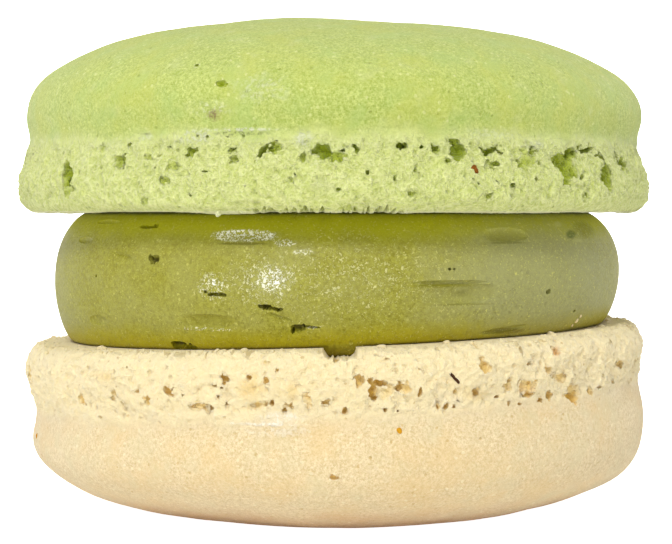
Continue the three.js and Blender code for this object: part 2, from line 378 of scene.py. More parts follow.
def make_blotches():
    inputs = {"Size": 3 * MM, "Low": 0.4, "High": 0.6, "Seed": 0.0}
    tree, given, out = new_group("blotches", inputs, ["Mask"])
    look = {"Vector": place_on(tree), "W": given["Seed"], "Scale": scale_of(tree, given["Size"])}
    look |= {"Detail": 3.0, "Roughness": 0.55}
    clouds = node(tree, "TexNoise", look, noise_dimensions="4D").outputs[0]
    tree.links.new(ramp(tree, clouds, given["Low"], given["High"], smooth=True), out["Mask"])
    return tree


blotches = make_blotches()

# %% Group: specks


def make_specks():
    """Ragged dots, one in each cell of a given spacing, of which only a share is kept."""
    inputs = {"Spacing": MM, "Radius": 0.12, "Share": 0.3}
    tree, given, out = new_group("specks", inputs, ["Mask", "Bowl"])
    place = place_on(tree)
    cells = node(tree, "TexVoronoi", {"Vector": place, "Scale": scale_of(tree, given["Spacing"])}).outputs
    ragged = noise(tree, place, 1 / (0.25 * MM), 2.0)
    reach = calc(tree, "MULTIPLY", calc(tree, "MULTIPLY", ragged, given["Radius"]), 2.0)
    far = calc(tree, "DIVIDE", cells["Distance"], reach)
    draw = node(tree, "SeparateXYZ", {0: cells["Color"]}).outputs["X"]
    kept = calc(tree, "LESS_THAN", draw, given["Share"])
    for name, inner in (("Mask", 0.75), ("Bowl", 0.1)):
        dot = ramp(tree, far, inner, 1.0, 1.0, 0.0, smooth=True)
        tree.links.new(calc(tree, "MULTIPLY", dot, kept), out[name])
    return tree


specks = make_specks()

# %% Group: facets


def make_facets():
    """The height of small flat facets, each tilted its own way, in metres."""
    tree, given, out = new_group("facets", {"Size": 0.2 * MM, "Tilt": 0.3}, ["Height"])
    place = place_on(tree)
    cells = node(tree, "TexVoronoi", {"Vector": place, "Scale": scale_of(tree, given["Size"])}).outputs
    aside = vector_calc(tree, "SUBTRACT", place, cells["Position"])
    lean = vector_calc(tree, "SUBTRACT", cells["Color"], (0.5, 0.5, 0.5))
    draw = node(tree, "SeparateXYZ", {0: cells["Color"]}).outputs["Z"]
    most = calc(tree, "MULTIPLY", draw, given["Tilt"])
    height = calc(tree, "MULTIPLY", vector_calc(tree, "DOT_PRODUCT", aside, lean), most)
    tree.links.new(height, out["Height"])
    return tree


facets = make_facets()

# %% Group: glints


def make_glints():
    """Ragged curved strokes. Bright, from 0 to 1, is how close together they lie."""
    tree, given, out = new_group("glints", {"Size": 0.15 * MM, "Bright": 0.0}, ["Mask"])
    swirls = noise(tree, place_on(tree), scale_of(tree, given["Size"]), 2.0, 0.6, 1.2)
    level = calc(tree, "MULTIPLY_ADD", given["Bright"], 0.14, swirls)
    tree.links.new(ramp(tree, level, 0.61, 0.66), out["Mask"])
    return tree


glints = make_glints()

# %% Group: band


def make_band():
    """A mask that is 1 between two heights on the axis. Soft is the width of its edges."""
    inputs = {"From": 0.0, "To": MM, "Soft": MM, "Wander": MM, "Slope": 0.0}
    tree, given, out = new_group("band", inputs, ["Mask"])
    place = place_on(tree)
    along = node(tree, "SeparateXYZ", {0: place}).outputs
    fall = calc(tree, "MULTIPLY", given["Slope"], -1.0)
    height = calc(tree, "MULTIPLY_ADD", along["X"], fall, along["Z"])
    shift = calc(tree, "SUBTRACT", noise(tree, place, 1 / (2.2 * MM), 3.0), 0.5)
    level = calc(tree, "ADD", height, calc(tree, "MULTIPLY", shift, given["Wander"]))
    edges = []
    for name, sign in (("From", 1), ("To", -1)):
        above = calc(tree, "MULTIPLY", calc(tree, "SUBTRACT", level, given[name]), sign)
        edges.append(ramp(tree, calc(tree, "DIVIDE", above, given["Soft"]), -0.5, 0.5, smooth=True))
    tree.links.new(calc(tree, "MULTIPLY", *edges), out["Mask"])
    return tree


band = make_band()

# %% Group: spot


def make_spot():
    """A patch round a place. Soft is the share of its reach over which it fades, Broken its gaps."""
    inputs = {"Place": (0, 0, 0), "Reach": (MM, MM, MM), "Soft": 0.8, "Ragged": 1.4, "Broken": 0.0}
    tree, given, out = new_group("spot", inputs, ["Mask"])
    place = place_on(tree)
    away = vector_calc(tree, "SUBTRACT", place, given["Place"])
    far = vector_calc(tree, "LENGTH", vector_calc(tree, "DIVIDE", away, given["Reach"]))
    shift = calc(tree, "SUBTRACT", noise(tree, place, 1 / (0.6 * MM), 4.0, 0.7), 0.5)
    level = calc(tree, "ADD", far, calc(tree, "MULTIPLY", shift, given["Ragged"]))
    inner = calc(tree, "SUBTRACT", 1.0, given["Soft"])
    patch = ramp(tree, level, inner, 1.0, 1.0, 0.0, smooth=True)
    gaps = ramp(tree, noise(tree, place, 1 / (0.26 * MM), 3.0, 0.7), 0.5, 0.55, 1.0, 0.0)
    left = calc(tree, "SUBTRACT", 1.0, calc(tree, "MULTIPLY", gaps, given["Broken"]))
    tree.links.new(calc(tree, "MULTIPLY", patch, left), out["Mask"])
    return tree


spot = make_spot()

# %% [markdown]
# ## The meringue finishes
#
# A shell's colour is laid up in the order in which it comes about in the oven: the batter's own colour
# with its almond speckle, blotches, the paler foot, and on the vanilla shell a toasted tan on top of the
# dome, which here faces down. Over that the foot's light and shade are painted: painted shade in the
# crevices of its crumb, in its pores and in pinholes, and inside a burst bubble a darker, stronger colour
# the deeper it lies, which is painted shade and painted bounced light over the moist crumb's own stronger
# colour, with a faint painted glow. The thin lip round each hollow, and the rim of the green shell, get
# a painted highlight. Depths and lips are found when the hollows are cut, and kept as attributes that
# this material reads. A little light goes into meringue and comes out beside where it went in, which is
# set on the shader.

# %% Meringue


def paint(tree, base, colour, mask, amount=1.0):
    """Lays a colour over the colours so far, as far as a mask lets it."""
    share = calc(tree, "MULTIPLY", mask, amount)
    return node(tree, "Mix", {0: share, 6: base, 7: colour}, data_type="RGBA").outputs[2]


def new_material(name, subsurface, radius, roughness, specular, sheen=0.0):
    """A material with its shader's uniform values set, and nothing linked to it yet."""
    material = bpy.data.materials.new(name)
    material.use_nodes = True
    tree = material.node_tree
    shader = tree.nodes["Principled BSDF"]
    shader.inputs["Roughness"].default_value = roughness
    shader.inputs["Subsurface Weight"].default_value = subsurface
    shader.inputs["Subsurface Radius"].default_value = radius
    shader.inputs["Subsurface Scale"].default_value = 1 * MM
    shader.inputs["Specular IOR Level"].default_value = specular
    shader.inputs["Sheen Weight"].default_value = sheen
    return material, tree, shader


def bump(tree, shader, parts):
    """Roughens a finish by the sum of (height, metres) pairs."""
    rise = 0.0
    for height, metres in parts:
        rise = calc(tree, "MULTIPLY_ADD", height, metres, rise)
    relief = node(tree, "Bump", {"Height": rise, "Distance": 1.0})
    tree.links.new(relief.outputs[0], shader.inputs["Normal"])


def attribute(tree, name):
    return node(tree, "Attribute", attribute_name=name).outputs["Fac"]


def stripe(tree, shell, low, high, soft, wander=1.6 * MM):
    """A stripe between two heights over a shell's inner face, as level as its crease."""
    ends = sorted(shell["face"] + shell["up"] * height for height in (low, high))
    reach = {"From": ends[0], "To": ends[1], "Soft": soft, "Wander": wander, "Slope": shell["waist_slope"]}
    return use_group(tree, band, reach)[0]


# %% A shell's finish


def make_meringue(name, shell, colours, crag_and_crevice_shade, glow, dried, patches):
    """A shell's finish. The patches are (colour, angle, height, wide, tall, amount, broken, raised)."""
    material, tree, shader = new_material(name, 0.14, (1.0, 0.9, 0.45), 0.8, specular=0.2, sheen=0.2)
    almond, mottle, crumble = (use_group(tree, grain, {"Size": size * MM}) for size in (0.2, 0.7, 0.42))
    warm, cool, haze = (
        use_group(tree, blotches, {"Size": size * MM, "Low": low, "High": high, "Seed": seed})[0]
        for size, low, high, seed in ((3.4, 0.42, 0.64, 0.0), (2.2, 0.46, 0.68, 4.0), (1.5, 0.54, 0.74, 9.0))
    )
    grains, pins, pores = (
        use_group(tree, specks, {"Spacing": spacing * MM, "Radius": radius, "Share": share})
        for spacing, radius, share in ((0.5, 0.24, 0.3), (0.7, 0.16, 0.3), (0.62, 0.34, 0.5))
    )
    waist = shell["waist"]
    foot = stripe(tree, shell, -2 * MM, waist - 0.4 * MM, 0.8 * MM)
    crease = stripe(tree, shell, waist - 1.2 * MM, waist + 0.2 * MM, 0.5 * MM)
    # The edge stripe is where the painted highlight along the rim goes, and the crumble's valleys get
    # painted shade.
    edge = stripe(tree, shell, -2 * MM, 0.06 * MM, 0.06 * MM, wander=0.1 * MM)
    crevice_shade_mask = calc(tree, "MULTIPLY", calc(tree, "SUBTRACT", 1.0, crumble["Speckle"]), foot)
    open_pores = calc(tree, "MULTIPLY", pores["Bowl"], foot)
    depth = attribute(tree, "depth")
    deep = ramp(tree, depth, 0.15, 0.65)
    toast = []
    if "toast" in colours:
        reach = {"From": -5 * MM, "To": 1.6 * MM, "Soft": 3.4 * MM, "Wander": 1.4 * MM}
        toast = [("toast", use_group(tree, band, reach)[0], 0.95)]
    colour = colours["dark"]
    for shade, mask, amount in (
        ("bright", almond["Speckle"], 1.0),
        ("dark", mottle["Speckle"], 0.3),
        ("warm", warm, 0.5),
        ("cool", cool, 0.45),
        ("foot", foot, 0.86),
        # painted shade in the crevices of the foot's crumb
        ("valley", crevice_shade_mask, crag_and_crevice_shade),
        ("pale", haze, 0.4),
        ("pale", crease, 0.2),
        # a painted highlight along the rim's lower edge, as strong as dried
        ("edge", edge, dried),
        *toast,
        ("grain", grains["Mask"], 0.5),
        # painted shade in the pores and pinholes
        ("pin", open_pores, 0.4),
        ("pin", pins["Mask"], 0.45),
        # painted shade and painted bounced light in the hollows, over the crumb's own stronger colour
        ("crumb", ramp(tree, depth, 0.03, 0.3), 0.85),
        ("deep", deep, 0.85),
        # a painted highlight on the lip round each hollow
        ("edge", ramp(tree, attribute(tree, "lip"), 0.4, 0.9), 0.5),
    ):
        colour = paint(tree, colour, colours[shade], mask, amount)
    # A faint painted glow in the deep hollows, standing for light that shines through the crumb.
    tree.links.new(paint(tree, rgb(0, 0, 0), colours["deep"], deep), shader.inputs["Emission Color"])
    shader.inputs["Emission Strength"].default_value = glow
    dusted = 0.0
    for shade, angle, height, wide, tall, amount, broken, raised in patches:
        reach = (wide / 2 * MM, 2 * MM, tall / 2 * MM)
        patch = {"Place": on_wall(shell, angle, height), "Reach": reach, "Broken": broken}
        film = use_group(tree, spot, patch)[0]
        colour = paint(tree, colour, shade, film, amount)
        if raised:
            dusted = calc(tree, "MULTIPLY_ADD", film, raised, dusted)
    tree.links.new(colour, shader.inputs["Base Color"])
    relief = (
        (almond["Height"], 0.17 * MM),
        (mottle["Height"], 0.14 * MM),
        (calc(tree, "MULTIPLY", crumble["Height"], foot), crag_and_crevice_shade * 0.8 * MM),
        (open_pores, -0.13 * MM),
        (pins["Bowl"], -0.06 * MM),
        (grains["Bowl"], 0.04 * MM),
        (dusted, 1 * MM),
    )
    bump(tree, shader, relief)
    return material


# %% The colours of the two shells
pistachio_colours = {
    "dark": rgb(156, 174, 70),
    "bright": rgb(214, 222, 136),
    "warm": rgb(192, 198, 92),
    "cool": rgb(176, 198, 112),
    "foot": rgb(248, 252, 176),
    "valley": rgb(196, 208, 100),
    "pale": rgb(204, 210, 146),
    "grain": rgb(226, 230, 160),
    # edge is a painted highlight, on the green shell's rim and on the lips of the hollows
    "edge": rgb(240, 240, 190),
    # pin, crumb and deep carry painted shade, and deep also painted bounced light, in pores and hollows
    "pin": rgb(132, 146, 22),
    "crumb": rgb(192, 206, 58),
    "deep": rgb(152, 168, 0),
}
# Pale sugar dust, which along the crease on the left is also a painted highlight.
sugar_dust_and_highlight = rgb(228, 231, 196)
brown_stain = rgb(136, 118, 64)
crease_shade = rgb(124, 134, 66)
pistachio_meringue = make_meringue(
    "pistachio_meringue",
    upper,
    pistachio_colours,
    crag_and_crevice_shade=0.85,
    glow=0.06,
    dried=0.7,
    patches=(
        (sugar_dust_and_highlight, -15.6, 5.1, 6.8, 0.34, 0.95, 0.9, 0.05),
        (sugar_dust_and_highlight, -22.9, 4.7, 4.2, 1.4, 0.7, 0.9, 0.05),
        (sugar_dust_and_highlight, -33.0, 4.8, 1.4, 0.9, 0.5, 0.7, 0.04),
        (sugar_dust_and_highlight, -4.9, 4.5, 1.6, 1.9, 0.8, 0.7, 0.04),
        (sugar_dust_and_highlight, -20.0, 6.4, 3.4, 1.6, 0.5, 0.9, 0.03),
        (sugar_dust_and_highlight, -12.0, 7.6, 5.0, 2.6, 0.4, 0.9, 0.03),
        (sugar_dust_and_highlight, 27.0, 4.9, 9.0, 1.2, 0.3, 0.8, 0.03),
        (sugar_dust_and_highlight, 35.6, 4.2, 1.8, 0.8, 0.6, 0.7, 0.04),
        (brown_stain, -19.6, 6.0, 1.3, 1.0, 0.9, 0.6, 0),
        (crease_shade, -16.4, 4.86, 6.0, 0.45, 0.75, 0.9, -0.05),
        (crease_shade, -33.0, 4.95, 0.9, 0.3, 0.8, 0.5, -0.05),
        (crease_shade, -4.9, 4.95, 1.2, 0.4, 0.6, 0.8, -0.05),
    ),
)
vanilla_colours = {
    "dark": rgb(212, 187, 134),
    "bright": rgb(249, 231, 193),
    "warm": rgb(230, 200, 142),
    "cool": rgb(222, 208, 164),
    "foot": rgb(252, 236, 190),
    "valley": rgb(232, 204, 138),
    "pale": rgb(234, 219, 182),
    "grain": rgb(247, 235, 200),
    # edge is a painted highlight on the lips of the hollows
    "edge": rgb(252, 244, 216),
    # pin, crumb and deep carry painted shade, and deep also painted bounced light, in pores and hollows
    "pin": rgb(198, 158, 76),
    "toast": rgb(208, 150, 94),
    "crumb": rgb(242, 212, 138),
    "deep": rgb(216, 178, 76),
}
# Icing sugar along the crease, which is also a painted highlight there.
icing_and_highlight = rgb(252, 243, 222)
golden_stain = rgb(232, 196, 112)
orange_stain = rgb(224, 160, 80)
vanilla_meringue = make_meringue(
    "vanilla_meringue",
    lower,
    vanilla_colours,
    crag_and_crevice_shade=0.3,
    glow=0.12,
    dried=0.0,
    patches=(
        (icing_and_highlight, -11.7, 4.4, 6.6, 0.32, 1.0, 0.7, 0.05),
        (icing_and_highlight, -9.3, 4.03, 4.0, 1.0, 0.85, 0.6, 0.03),
        (icing_and_highlight, -9.9, 4.86, 6.4, 1.0, 0.5, 0.95, 0.04),
        (golden_stain, -13.6, 2.12, 2.0, 2.4, 0.5, 0.0, 0),
        (golden_stain, -7.0, 2.35, 1.2, 1.6, 0.4, 0.0, 0),
        (golden_stain, -42.0, 1.47, 2.6, 0.9, 0.35, 0.0, 0),
        (golden_stain, 24.0, 3.35, 2.4, 1.2, 0.35, 0.3, 0),
        (orange_stain, 34.2, 3.34, 2.0, 1.1, 0.25, 0.3, 0),
        (orange_stain, 40.6, 1.01, 0.9, 1.0, 0.6, 0.2, 0),
    ),
)
print("meringue:", pistachio_meringue.name, vanilla_meringue.name)

# %% [markdown]
# ## The cream's finish
#
# Pistachio cream is butter and sugar with ground nuts. It is satin, and its fine grains glitter where the
# lamp is mirrored. So it gets small facets for the glitter, with glints and a whitish haze painted on in
# patches as painted highlight, a paler bloom in blotches, and bands of darker and stronger colour close to
# the shells as painted shade, each ending in a thin dark painted shadow line at the shell. A few marks are
# stains, and more are painted shade: under the edges of the dents, inside the dents and holes, and as a
# greyish cast over the right side.

# %% The outline of the cream
CREAM_RADIUS = 20.32 * MM
CREAM_TOP_RADIUS = 17.8 * MM
CREAM_FOOT_RADIUS = 18.9 * MM
CREAM_BULGE_POWER = 0.66
CREAM_SAG = 0.92
CREAM_OFFSET = 0.2 * MM
PRESS = 0.04 * MM


def cream_radius(share):
    edge = mix(CREAM_FOOT_RADIUS, CREAM_TOP_RADIUS, share)
    sagged = share**CREAM_SAG
    return mix(edge, CREAM_RADIUS, (4 * sagged * (1 - sagged)) ** CREAM_BULGE_POWER)


def cream_height(x, share):
    """The cream presses a hair into both shells, so that no light shows between them."""
    under = LOWER_FACE + lower["foot_slope"] * x - PRESS
    return mix(under, UPPER_FACE + PRESS, share)


def on_cream(angle, under, out=0):
    """A point of the cream's side, from degrees and from millimetres under the upper shell and out."""
    share = max(1 - under * MM / (UPPER_FACE - LOWER_FACE), 0)
    radius, turn = cream_radius(share) + out * MM, math.radians(angle)
    x = CREAM_OFFSET + radius * math.sin(turn)
    return Vector((x, -radius * math.cos(turn), UPPER_FACE - under * MM))


# %% Cream
# Patches of painted highlight, each with a painted whitish haze and painted glints, where the lamp's gleam
# falls.
cream_glitter = (
    # angle, depth under the upper shell, wide, tall, soft, haze, share of glints
    (-11.2, 4.2, 4.2, 3.4, 0.9, 0.14, 0.88),
    (-12.6, 4.3, 7.6, 5.6, 0.9, 0.0, 0.5),
    (-22.7, 4.7, 3.2, 2.6, 0.6, 0.0, 0.55),
    (-17.4, 1.5, 5.2, 0.95, 0.3, 0.15, 0.85),
    (-9.5, 1.95, 1.9, 0.7, 0.6, 0.0, 0.7),
    (-6.0, 2.5, 1.9, 0.7, 0.6, 0.0, 0.6),
    (3.0, 3.9, 6.0, 4.4, 0.9, 0.0, 0.3),
    (-25.0, 7.46, 5.0, 0.3, 0.5, 0.0, 0.6),
    (-4.0, 7.25, 1.3, 0.3, 0.6, 0.0, 0.7),
    (-22.5, 4.45, 0.34, 0.5, 0.4, 0.5, 1.0),
    (0.0, 4.2, 22.0, 8.0, 0.9, 0.0, 0.25),
)
cream_stains_and_shade = (
    # colour, angle, depth under the upper shell, wide, tall, amount
    # a greyish painted shade over the right side, which faces away from the lamps
    (rgb(154, 155, 110), 44.0, 4.4, 26.0, 11.0, 0.55),
    # a dark green spot, a darker olive patch under the shell on the right, and two pale marks beside them
    (rgb(84, 98, 16), 53.0, 1.5, 1.0, 0.8, 0.8),
    (rgb(130, 130, 10), 60.0, 1.2, 3.2, 1.6, 0.7),
    (rgb(190, 190, 120), 50.5, 0.8, 0.8, 0.5, 0.5),
    (rgb(190, 190, 120), 54.5, 1.9, 1.0, 0.3, 0.4),
    # painted shade under the edges of the dents, as thin dark lines, and on the floor of one dent
    (rgb(104, 90, 10), 33.7, 7.7, 3.8, 0.5, 0.6),
    (rgb(104, 100, 8), -17.4, 2.0, 4.6, 0.26, 0.8),
    (rgb(142, 139, 10), -24.1, 7.0, 4.6, 1.0, 0.35),
    (rgb(126, 124, 10), 18.6, 4.66, 6.4, 0.3, 0.7),
    (rgb(126, 124, 50), 23.0, 5.86, 6.0, 0.2, 0.7),
    (rgb(112, 112, 40), 33.7, 1.98, 3.6, 0.2, 0.75),
    # the lump in the notch, in the stronger colour of the painted shade near the lower shell
    (rgb(146, 138, 22), 1.1, 8.8, 3.4, 1.6, 0.9),
)
CREAM_ROUGHNESS = 0.5
WET_ROUGHNESS = 0.16
STAIN_AND_SHADE_SOFT = 0.6


def cream_film(tree, angle, under, wide, tall, soft):
    """A patch on the cream's side, for its painted glints and haze, its stains and its painted shade."""
    reach = (wide / 2 * MM, max(wide / 2, 3) * MM, tall / 2 * MM)
    patch = {"Place": on_cream(angle, under), "Reach": reach, "Soft": soft, "Ragged": 0.9 * soft}
    return use_group(tree, spot, patch)[0]


def add_glitter(tree, shader, colour):
    """Lays painted glints and a painted whitish haze over the cream's colour, as painted highlight. Gives
    the colour and where the glints are.
    """
    gloss = 0.0
    for angle, under, wide, tall, soft, haze, share in cream_glitter:
        film = cream_film(tree, angle, under, wide, tall, soft)
        colour = paint(tree, colour, rgb(206, 206, 160), film, haze)
        gloss = calc(tree, "MAXIMUM", gloss, calc(tree, "MULTIPLY", film, share))
    sparks = use_group(tree, glints, {"Size": 0.17 * MM, "Bright": gloss})[0]
    spark_colour = paint(tree, rgb(206, 202, 104), rgb(255, 255, 242), gloss)
    bright = calc(tree, "MULTIPLY", sparks, ramp(tree, gloss, start=0.7))
    smooth = ramp(tree, gloss, start=CREAM_ROUGHNESS, end=WET_ROUGHNESS)
    tree.links.new(smooth, shader.inputs["Roughness"])
    return paint(tree, colour, spark_colour, bright), sparks


def make_cream():
    look = ("pistachio_cream", 0.1, (1.0, 0.9, 0.3), CREAM_ROUGHNESS)
    material, tree, shader = new_material(*look, specular=0.3)
    nuts = use_group(tree, grain, {"Size": 0.24 * MM})
    sugar = use_group(tree, facets, {"Size": 0.16 * MM, "Tilt": 0.6})[0]
    specked = use_group(tree, specks, {"Spacing": 0.5 * MM, "Radius": 0.2, "Share": 0.3})["Mask"]
    bloom = use_group(tree, blotches, {"Size": 2.4 * MM, "Low": 0.35, "High": 0.7, "Seed": 2.0})[0]
    colour = paint(tree, rgb(128, 124, 22), rgb(174, 171, 64), nuts["Speckle"], 0.8)
    colour = paint(tree, colour, rgb(164, 162, 92), bloom, 0.35)
    # pale specks, partly sugar and partly painted glints
    colour = paint(tree, colour, rgb(212, 208, 112), specked, 0.45)
    tilt = lower["foot_slope"]
    # Painted shade: darker, stronger colour close to each shell, then a thin dark painted shadow line where
    # the cream meets it.
    for shade, low, high, soft, slope, amount in (
        (rgb(176, 175, 0), UPPER_FACE - 1.5 * MM, TOP, 1.8 * MM, 0, 0.95),
        (rgb(170, 161, 0), 0.0, LOWER_FACE + 1.0 * MM, 1.6 * MM, tilt, 0.95),
        (rgb(56, 58, 0), UPPER_FACE - 0.16 * MM, TOP, 0.2 * MM, 0, 0.85),
        (rgb(92, 78, 0), 0.0, LOWER_FACE + 0.14 * MM, 0.2 * MM, tilt, 0.8),
    ):
        reach = {"From": low, "To": high, "Soft": soft, "Wander": 0.6 * soft, "Slope": slope}
        colour = paint(tree, colour, shade, use_group(tree, band, reach)[0], amount)
    for shade, angle, under, wide, tall, amount in cream_stains_and_shade:
        film = cream_film(tree, angle, under, wide, tall, STAIN_AND_SHADE_SOFT)
        colour = paint(tree, colour, shade, film, amount)
    colour, sparks = add_glitter(tree, shader, colour)
    depth = attribute(tree, "depth")
    # Painted shade in the dents and holes, darker the deeper they go.
    colour = paint(tree, colour, rgb(132, 128, 20), ramp(tree, depth, 0.03, 0.16), 0.25)
    colour = paint(tree, colour, rgb(84, 78, 0), ramp(tree, depth, 0.3, 0.42), 0.9)
    tree.links.new(colour, shader.inputs["Base Color"])
    bump(tree, shader, ((nuts["Height"], 0.02 * MM), (sugar, 1.0), (sparks, 0.02 * MM)))
    return material


pistachio_cream = make_cream()
print("cream material has", len(pistachio_cream.node_tree.nodes), "nodes")

# %% [markdown]
# ## A shell, ring by ring
#
# A shell is nearly a body of revolution, so it could be turned from half an outline with Spin. Here it
# is built as a potter builds up a wall: one ring of points, extruded and resized ring after ring, from
# the flat inner face round the rim, up the foot and over the dome. That way each ring can also be
# tilted and pushed sideways a little, and a baked shell is never quite level or quite round. The foot
# is then cut finer than the dome, because all the small detail is there.

# %% Build up a body from rings
RING_SEGMENTS = 230
FOOT_CUTS = 3
POINT_RADIUS = 0.001 * MM  # a ring can't shrink to nothing


def build_rings(name, rings, segments=RING_SEGMENTS):
    """Extrudes a filled ring through (radius, centre, tilt) rings, and closes the last one."""
    radius, centre, tilt = rings[0]
    bpy.ops.object.select_all(action="DESELECT")
    bpy.ops.mesh.primitive_circle_add(
        vertices=segments, radius=radius, fill_type="TRIFAN", location=centre, rotation=(0, -tilt, 0)
    )
    piece = bpy.context.object
    piece.name = piece.data.name = name
    bpy.ops.object.transform_apply(location=True, rotation=True, scale=True)
    bpy.ops.object.mode_set(mode="EDIT")
    bpy.ops.mesh.select_mode(type="EDGE")
    bpy.ops.mesh.select_all(action="DESELECT")
    bpy.ops.mesh.select_non_manifold()
    for next_radius, next_centre, next_tilt in rings[1:]:
        bpy.ops.mesh.extrude_edges_move(TRANSFORM_OT_translate={"value": next_centre - centre})
        grown = max(next_radius, POINT_RADIUS) / radius
        bpy.ops.transform.resize(value=(grown, grown, grown), center_override=next_centre)
        if next_tilt != tilt:
            bpy.ops.transform.rotate(value=next_tilt - tilt, orient_axis="Y", center_override=next_centre)
        radius, centre, tilt = max(next_radius, POINT_RADIUS), next_centre, next_tilt
    bpy.ops.mesh.select_mode(type="VERT")
    if radius < 0.1 * MM:
        bpy.ops.mesh.merge(type="CENTER")
    else:
        bpy.ops.mesh.edge_face_add()
        bpy.ops.mesh.poke()
    bpy.ops.mesh.select_all(action="SELECT")
    bpy.ops.mesh.normals_make_consistent(inside=False)
    bpy.ops.object.mode_set(mode="OBJECT")
    return piece


def build_shell(shell):
    rings = []
    for radius, height in shell_rings(shell):
        right, left = placed(shell, radius, math.pi / 2, height), placed(shell, radius, -math.pi / 2, height)
        tilt = math.atan2(right.z - left.z, right.x - left.x) if radius > MM else 0
        rings.append((radius, (right + left) / 2, tilt))
    return build_rings(shell["name"], rings)


def height_in(shell, point):
    """The height of a point above a shell's inner face."""
    height = shell["up"] * (point.z - shell["face"])
    return shell["up"] * (point.z - shell["face"] - slope_at(shell, height) * point.x)


def cut_foot_finer(piece, shell):
    """Subdivides the faces of the rim and the foot."""

    def on_foot(point):
        out = math.hypot(point.x, point.y)
        return out > FLAT_FACE_RADIUS + 0.7 * MM and height_in(shell, point) < shell["waist"] + 0.4 * MM

    select_faces(piece, on_foot)
    bpy.ops.mesh.subdivide(number_cuts=FOOT_CUTS)
    bpy.ops.object.mode_set(mode="OBJECT")


upper_shell = build_shell(upper)
lower_shell = build_shell(lower)
for piece, shell in ((upper_shell, upper), (lower_shell, lower)):
    cut_foot_finer(piece, shell)
    print(piece.name, triangles(piece), "triangles")

# %% [markdown]
# ## Lumps and a frayed rim
#
# Heat makes the batter swell unevenly. Sculpting by hand would do, but a Displace modifier with a
# Clouds texture gives the same kind of lumps all the way round. A vertex group keeps each one to its
# zone, so the inner face and the flat spot that the macaron stands on stay flat. The rim of the vanilla
# shell tore when it came off the tray, so clouds of three sizes push its edge up and down.

# %% The zones of a shell


def weigh_zones(piece, shell):
    """Vertex groups for the whole outside, for the foot and for the rim."""

    def side(point):
        out = math.hypot(point.x, point.y)
        beyond = smoothstep(out, FLAT_FACE_RADIUS + 0.5 * MM, FLAT_FACE_RADIUS + 1.8 * MM)
        return max(beyond, smoothstep(height_in(shell, point), 0.4 * MM, 1.5 * MM))

    def whole(point):
        return side(point) * smoothstep(point.z, 0.02 * MM, 1.5 * MM)

    def foot(point):
        height = height_in(shell, point)
        below = 1 - smoothstep(height, shell["waist"] - 0.9 * MM, shell["waist"])
        return smoothstep(height, 0.1 * MM, 1.1 * MM) * below

    def rim(point):
        return side(point) * (1 - smoothstep(height_in(shell, point), 0.3 * MM, 1.3 * MM))

    for rule in (whole, foot, rim):
        weigh(piece, rule.__name__, rule)


# %% Displace with clouds


def roughen(piece, zone, size, strength, hard=False, middle=0.5, direction="NORMAL"):
    """Pushes a zone in and out by clouds of a size."""
    texture = bpy.data.textures.new(f"{piece.name}_{zone}", "CLOUDS")
    texture.noise_scale = size
    texture.noise_type = "HARD_NOISE" if hard else "SOFT_NOISE"
    apply_modifier(
        piece,
        "DISPLACE",
        texture=texture,
        texture_coords="LOCAL",
        direction=direction,
        vertex_group=zone,
        strength=strength,
        mid_level=middle,
    )


for piece, shell in ((upper_shell, upper), (lower_shell, lower)):
    weigh_zones(piece, shell)
    roughen(piece, "whole", 9 * MM, 0.5 * MM)
    roughen(piece, "foot", 3.4 * MM, 0.7 * MM)
    roughen(piece, "foot", 1.3 * MM, 0.35 * MM)
roughen(upper_shell, "rim", 0.5 * MM, 0.12 * MM, hard=True, middle=0.4, direction="Z")
roughen(lower_shell, "rim", 2.4 * MM, 0.4 * MM, middle=0.6, direction="Z")
roughen(lower_shell, "rim", 0.9 * MM, -0.3 * MM, hard=True, middle=0.4, direction="Z")
roughen(lower_shell, "rim", 0.34 * MM, 0.4 * MM, middle=0.5, direction="Z")
print("lumps on", upper_shell.name, "and", lower_shell.name)

# %% [markdown]
# ## Burst bubbles
#
# A foot is a foam that broke open as it rose. Each hollow is a bubble, so each is cut out by a bubble:
# an icosphere with an uneven skin. Six odd ones are modelled, a millimetre wide, and every hollow is a
# copy of one of them, stretched to its own size and sunk in the wall where a ray from outside meets it.
# A Boolean with the Manifold solver takes them all out at once and leaves the sharp lips that such
# holes have. How deep each point then lies under the old wall is kept as an attribute, and so are the
# lips, because the finish paints them by it.

# %% Model the bubbles
ODD_BUBBLES = 6
BUBBLE_SPACING = 5 * MM  # each takes its lumps from another part of the clouds
LOWEST_RAY = 0.3  # a ray meets the rim at this height or higher
SHALLOW = 0.06  # a point less deep than this is still on the wall


def model_bubble(number, faces, lump):
    bpy.ops.object.select_all(action="DESELECT")
    bpy.ops.mesh.primitive_ico_sphere_add(
        subdivisions=faces, radius=0.5 * MM, location=(number * BUBBLE_SPACING, 0, 0)
    )
    bubble = bpy.context.object
    bubble.name = f"bubble_{number}_{faces}"
    if lump > 0:
        texture = bpy.data.textures.new(bubble.name, "CLOUDS")
        texture.noise_scale = 0.42 * MM
        apply_modifier(
            bubble, "DISPLACE", texture=texture, texture_coords="GLOBAL", strength=lump, mid_level=0.5
        )
    return bubble


tiny_bubbles, small_bubbles, large_bubbles = (
    [model_bubble(number, faces, 0.32 * MM) for number in range(ODD_BUBBLES)] for faces in (2, 3, 4)
)
smooth_bubble = model_bubble(ODD_BUBBLES, 4, 0)
print(ODD_BUBBLES, "odd bubbles in three finenesses, and a smooth one")


def bubble_for(width, number):
    """An odd bubble, as finely faceted as its width in millimetres asks for."""
    bubbles = large_bubbles if width > 1.3 else small_bubbles if width > 0.5 else tiny_bubbles
    return bubbles[number % ODD_BUBBLES]


# %% Sink a copy in a wall


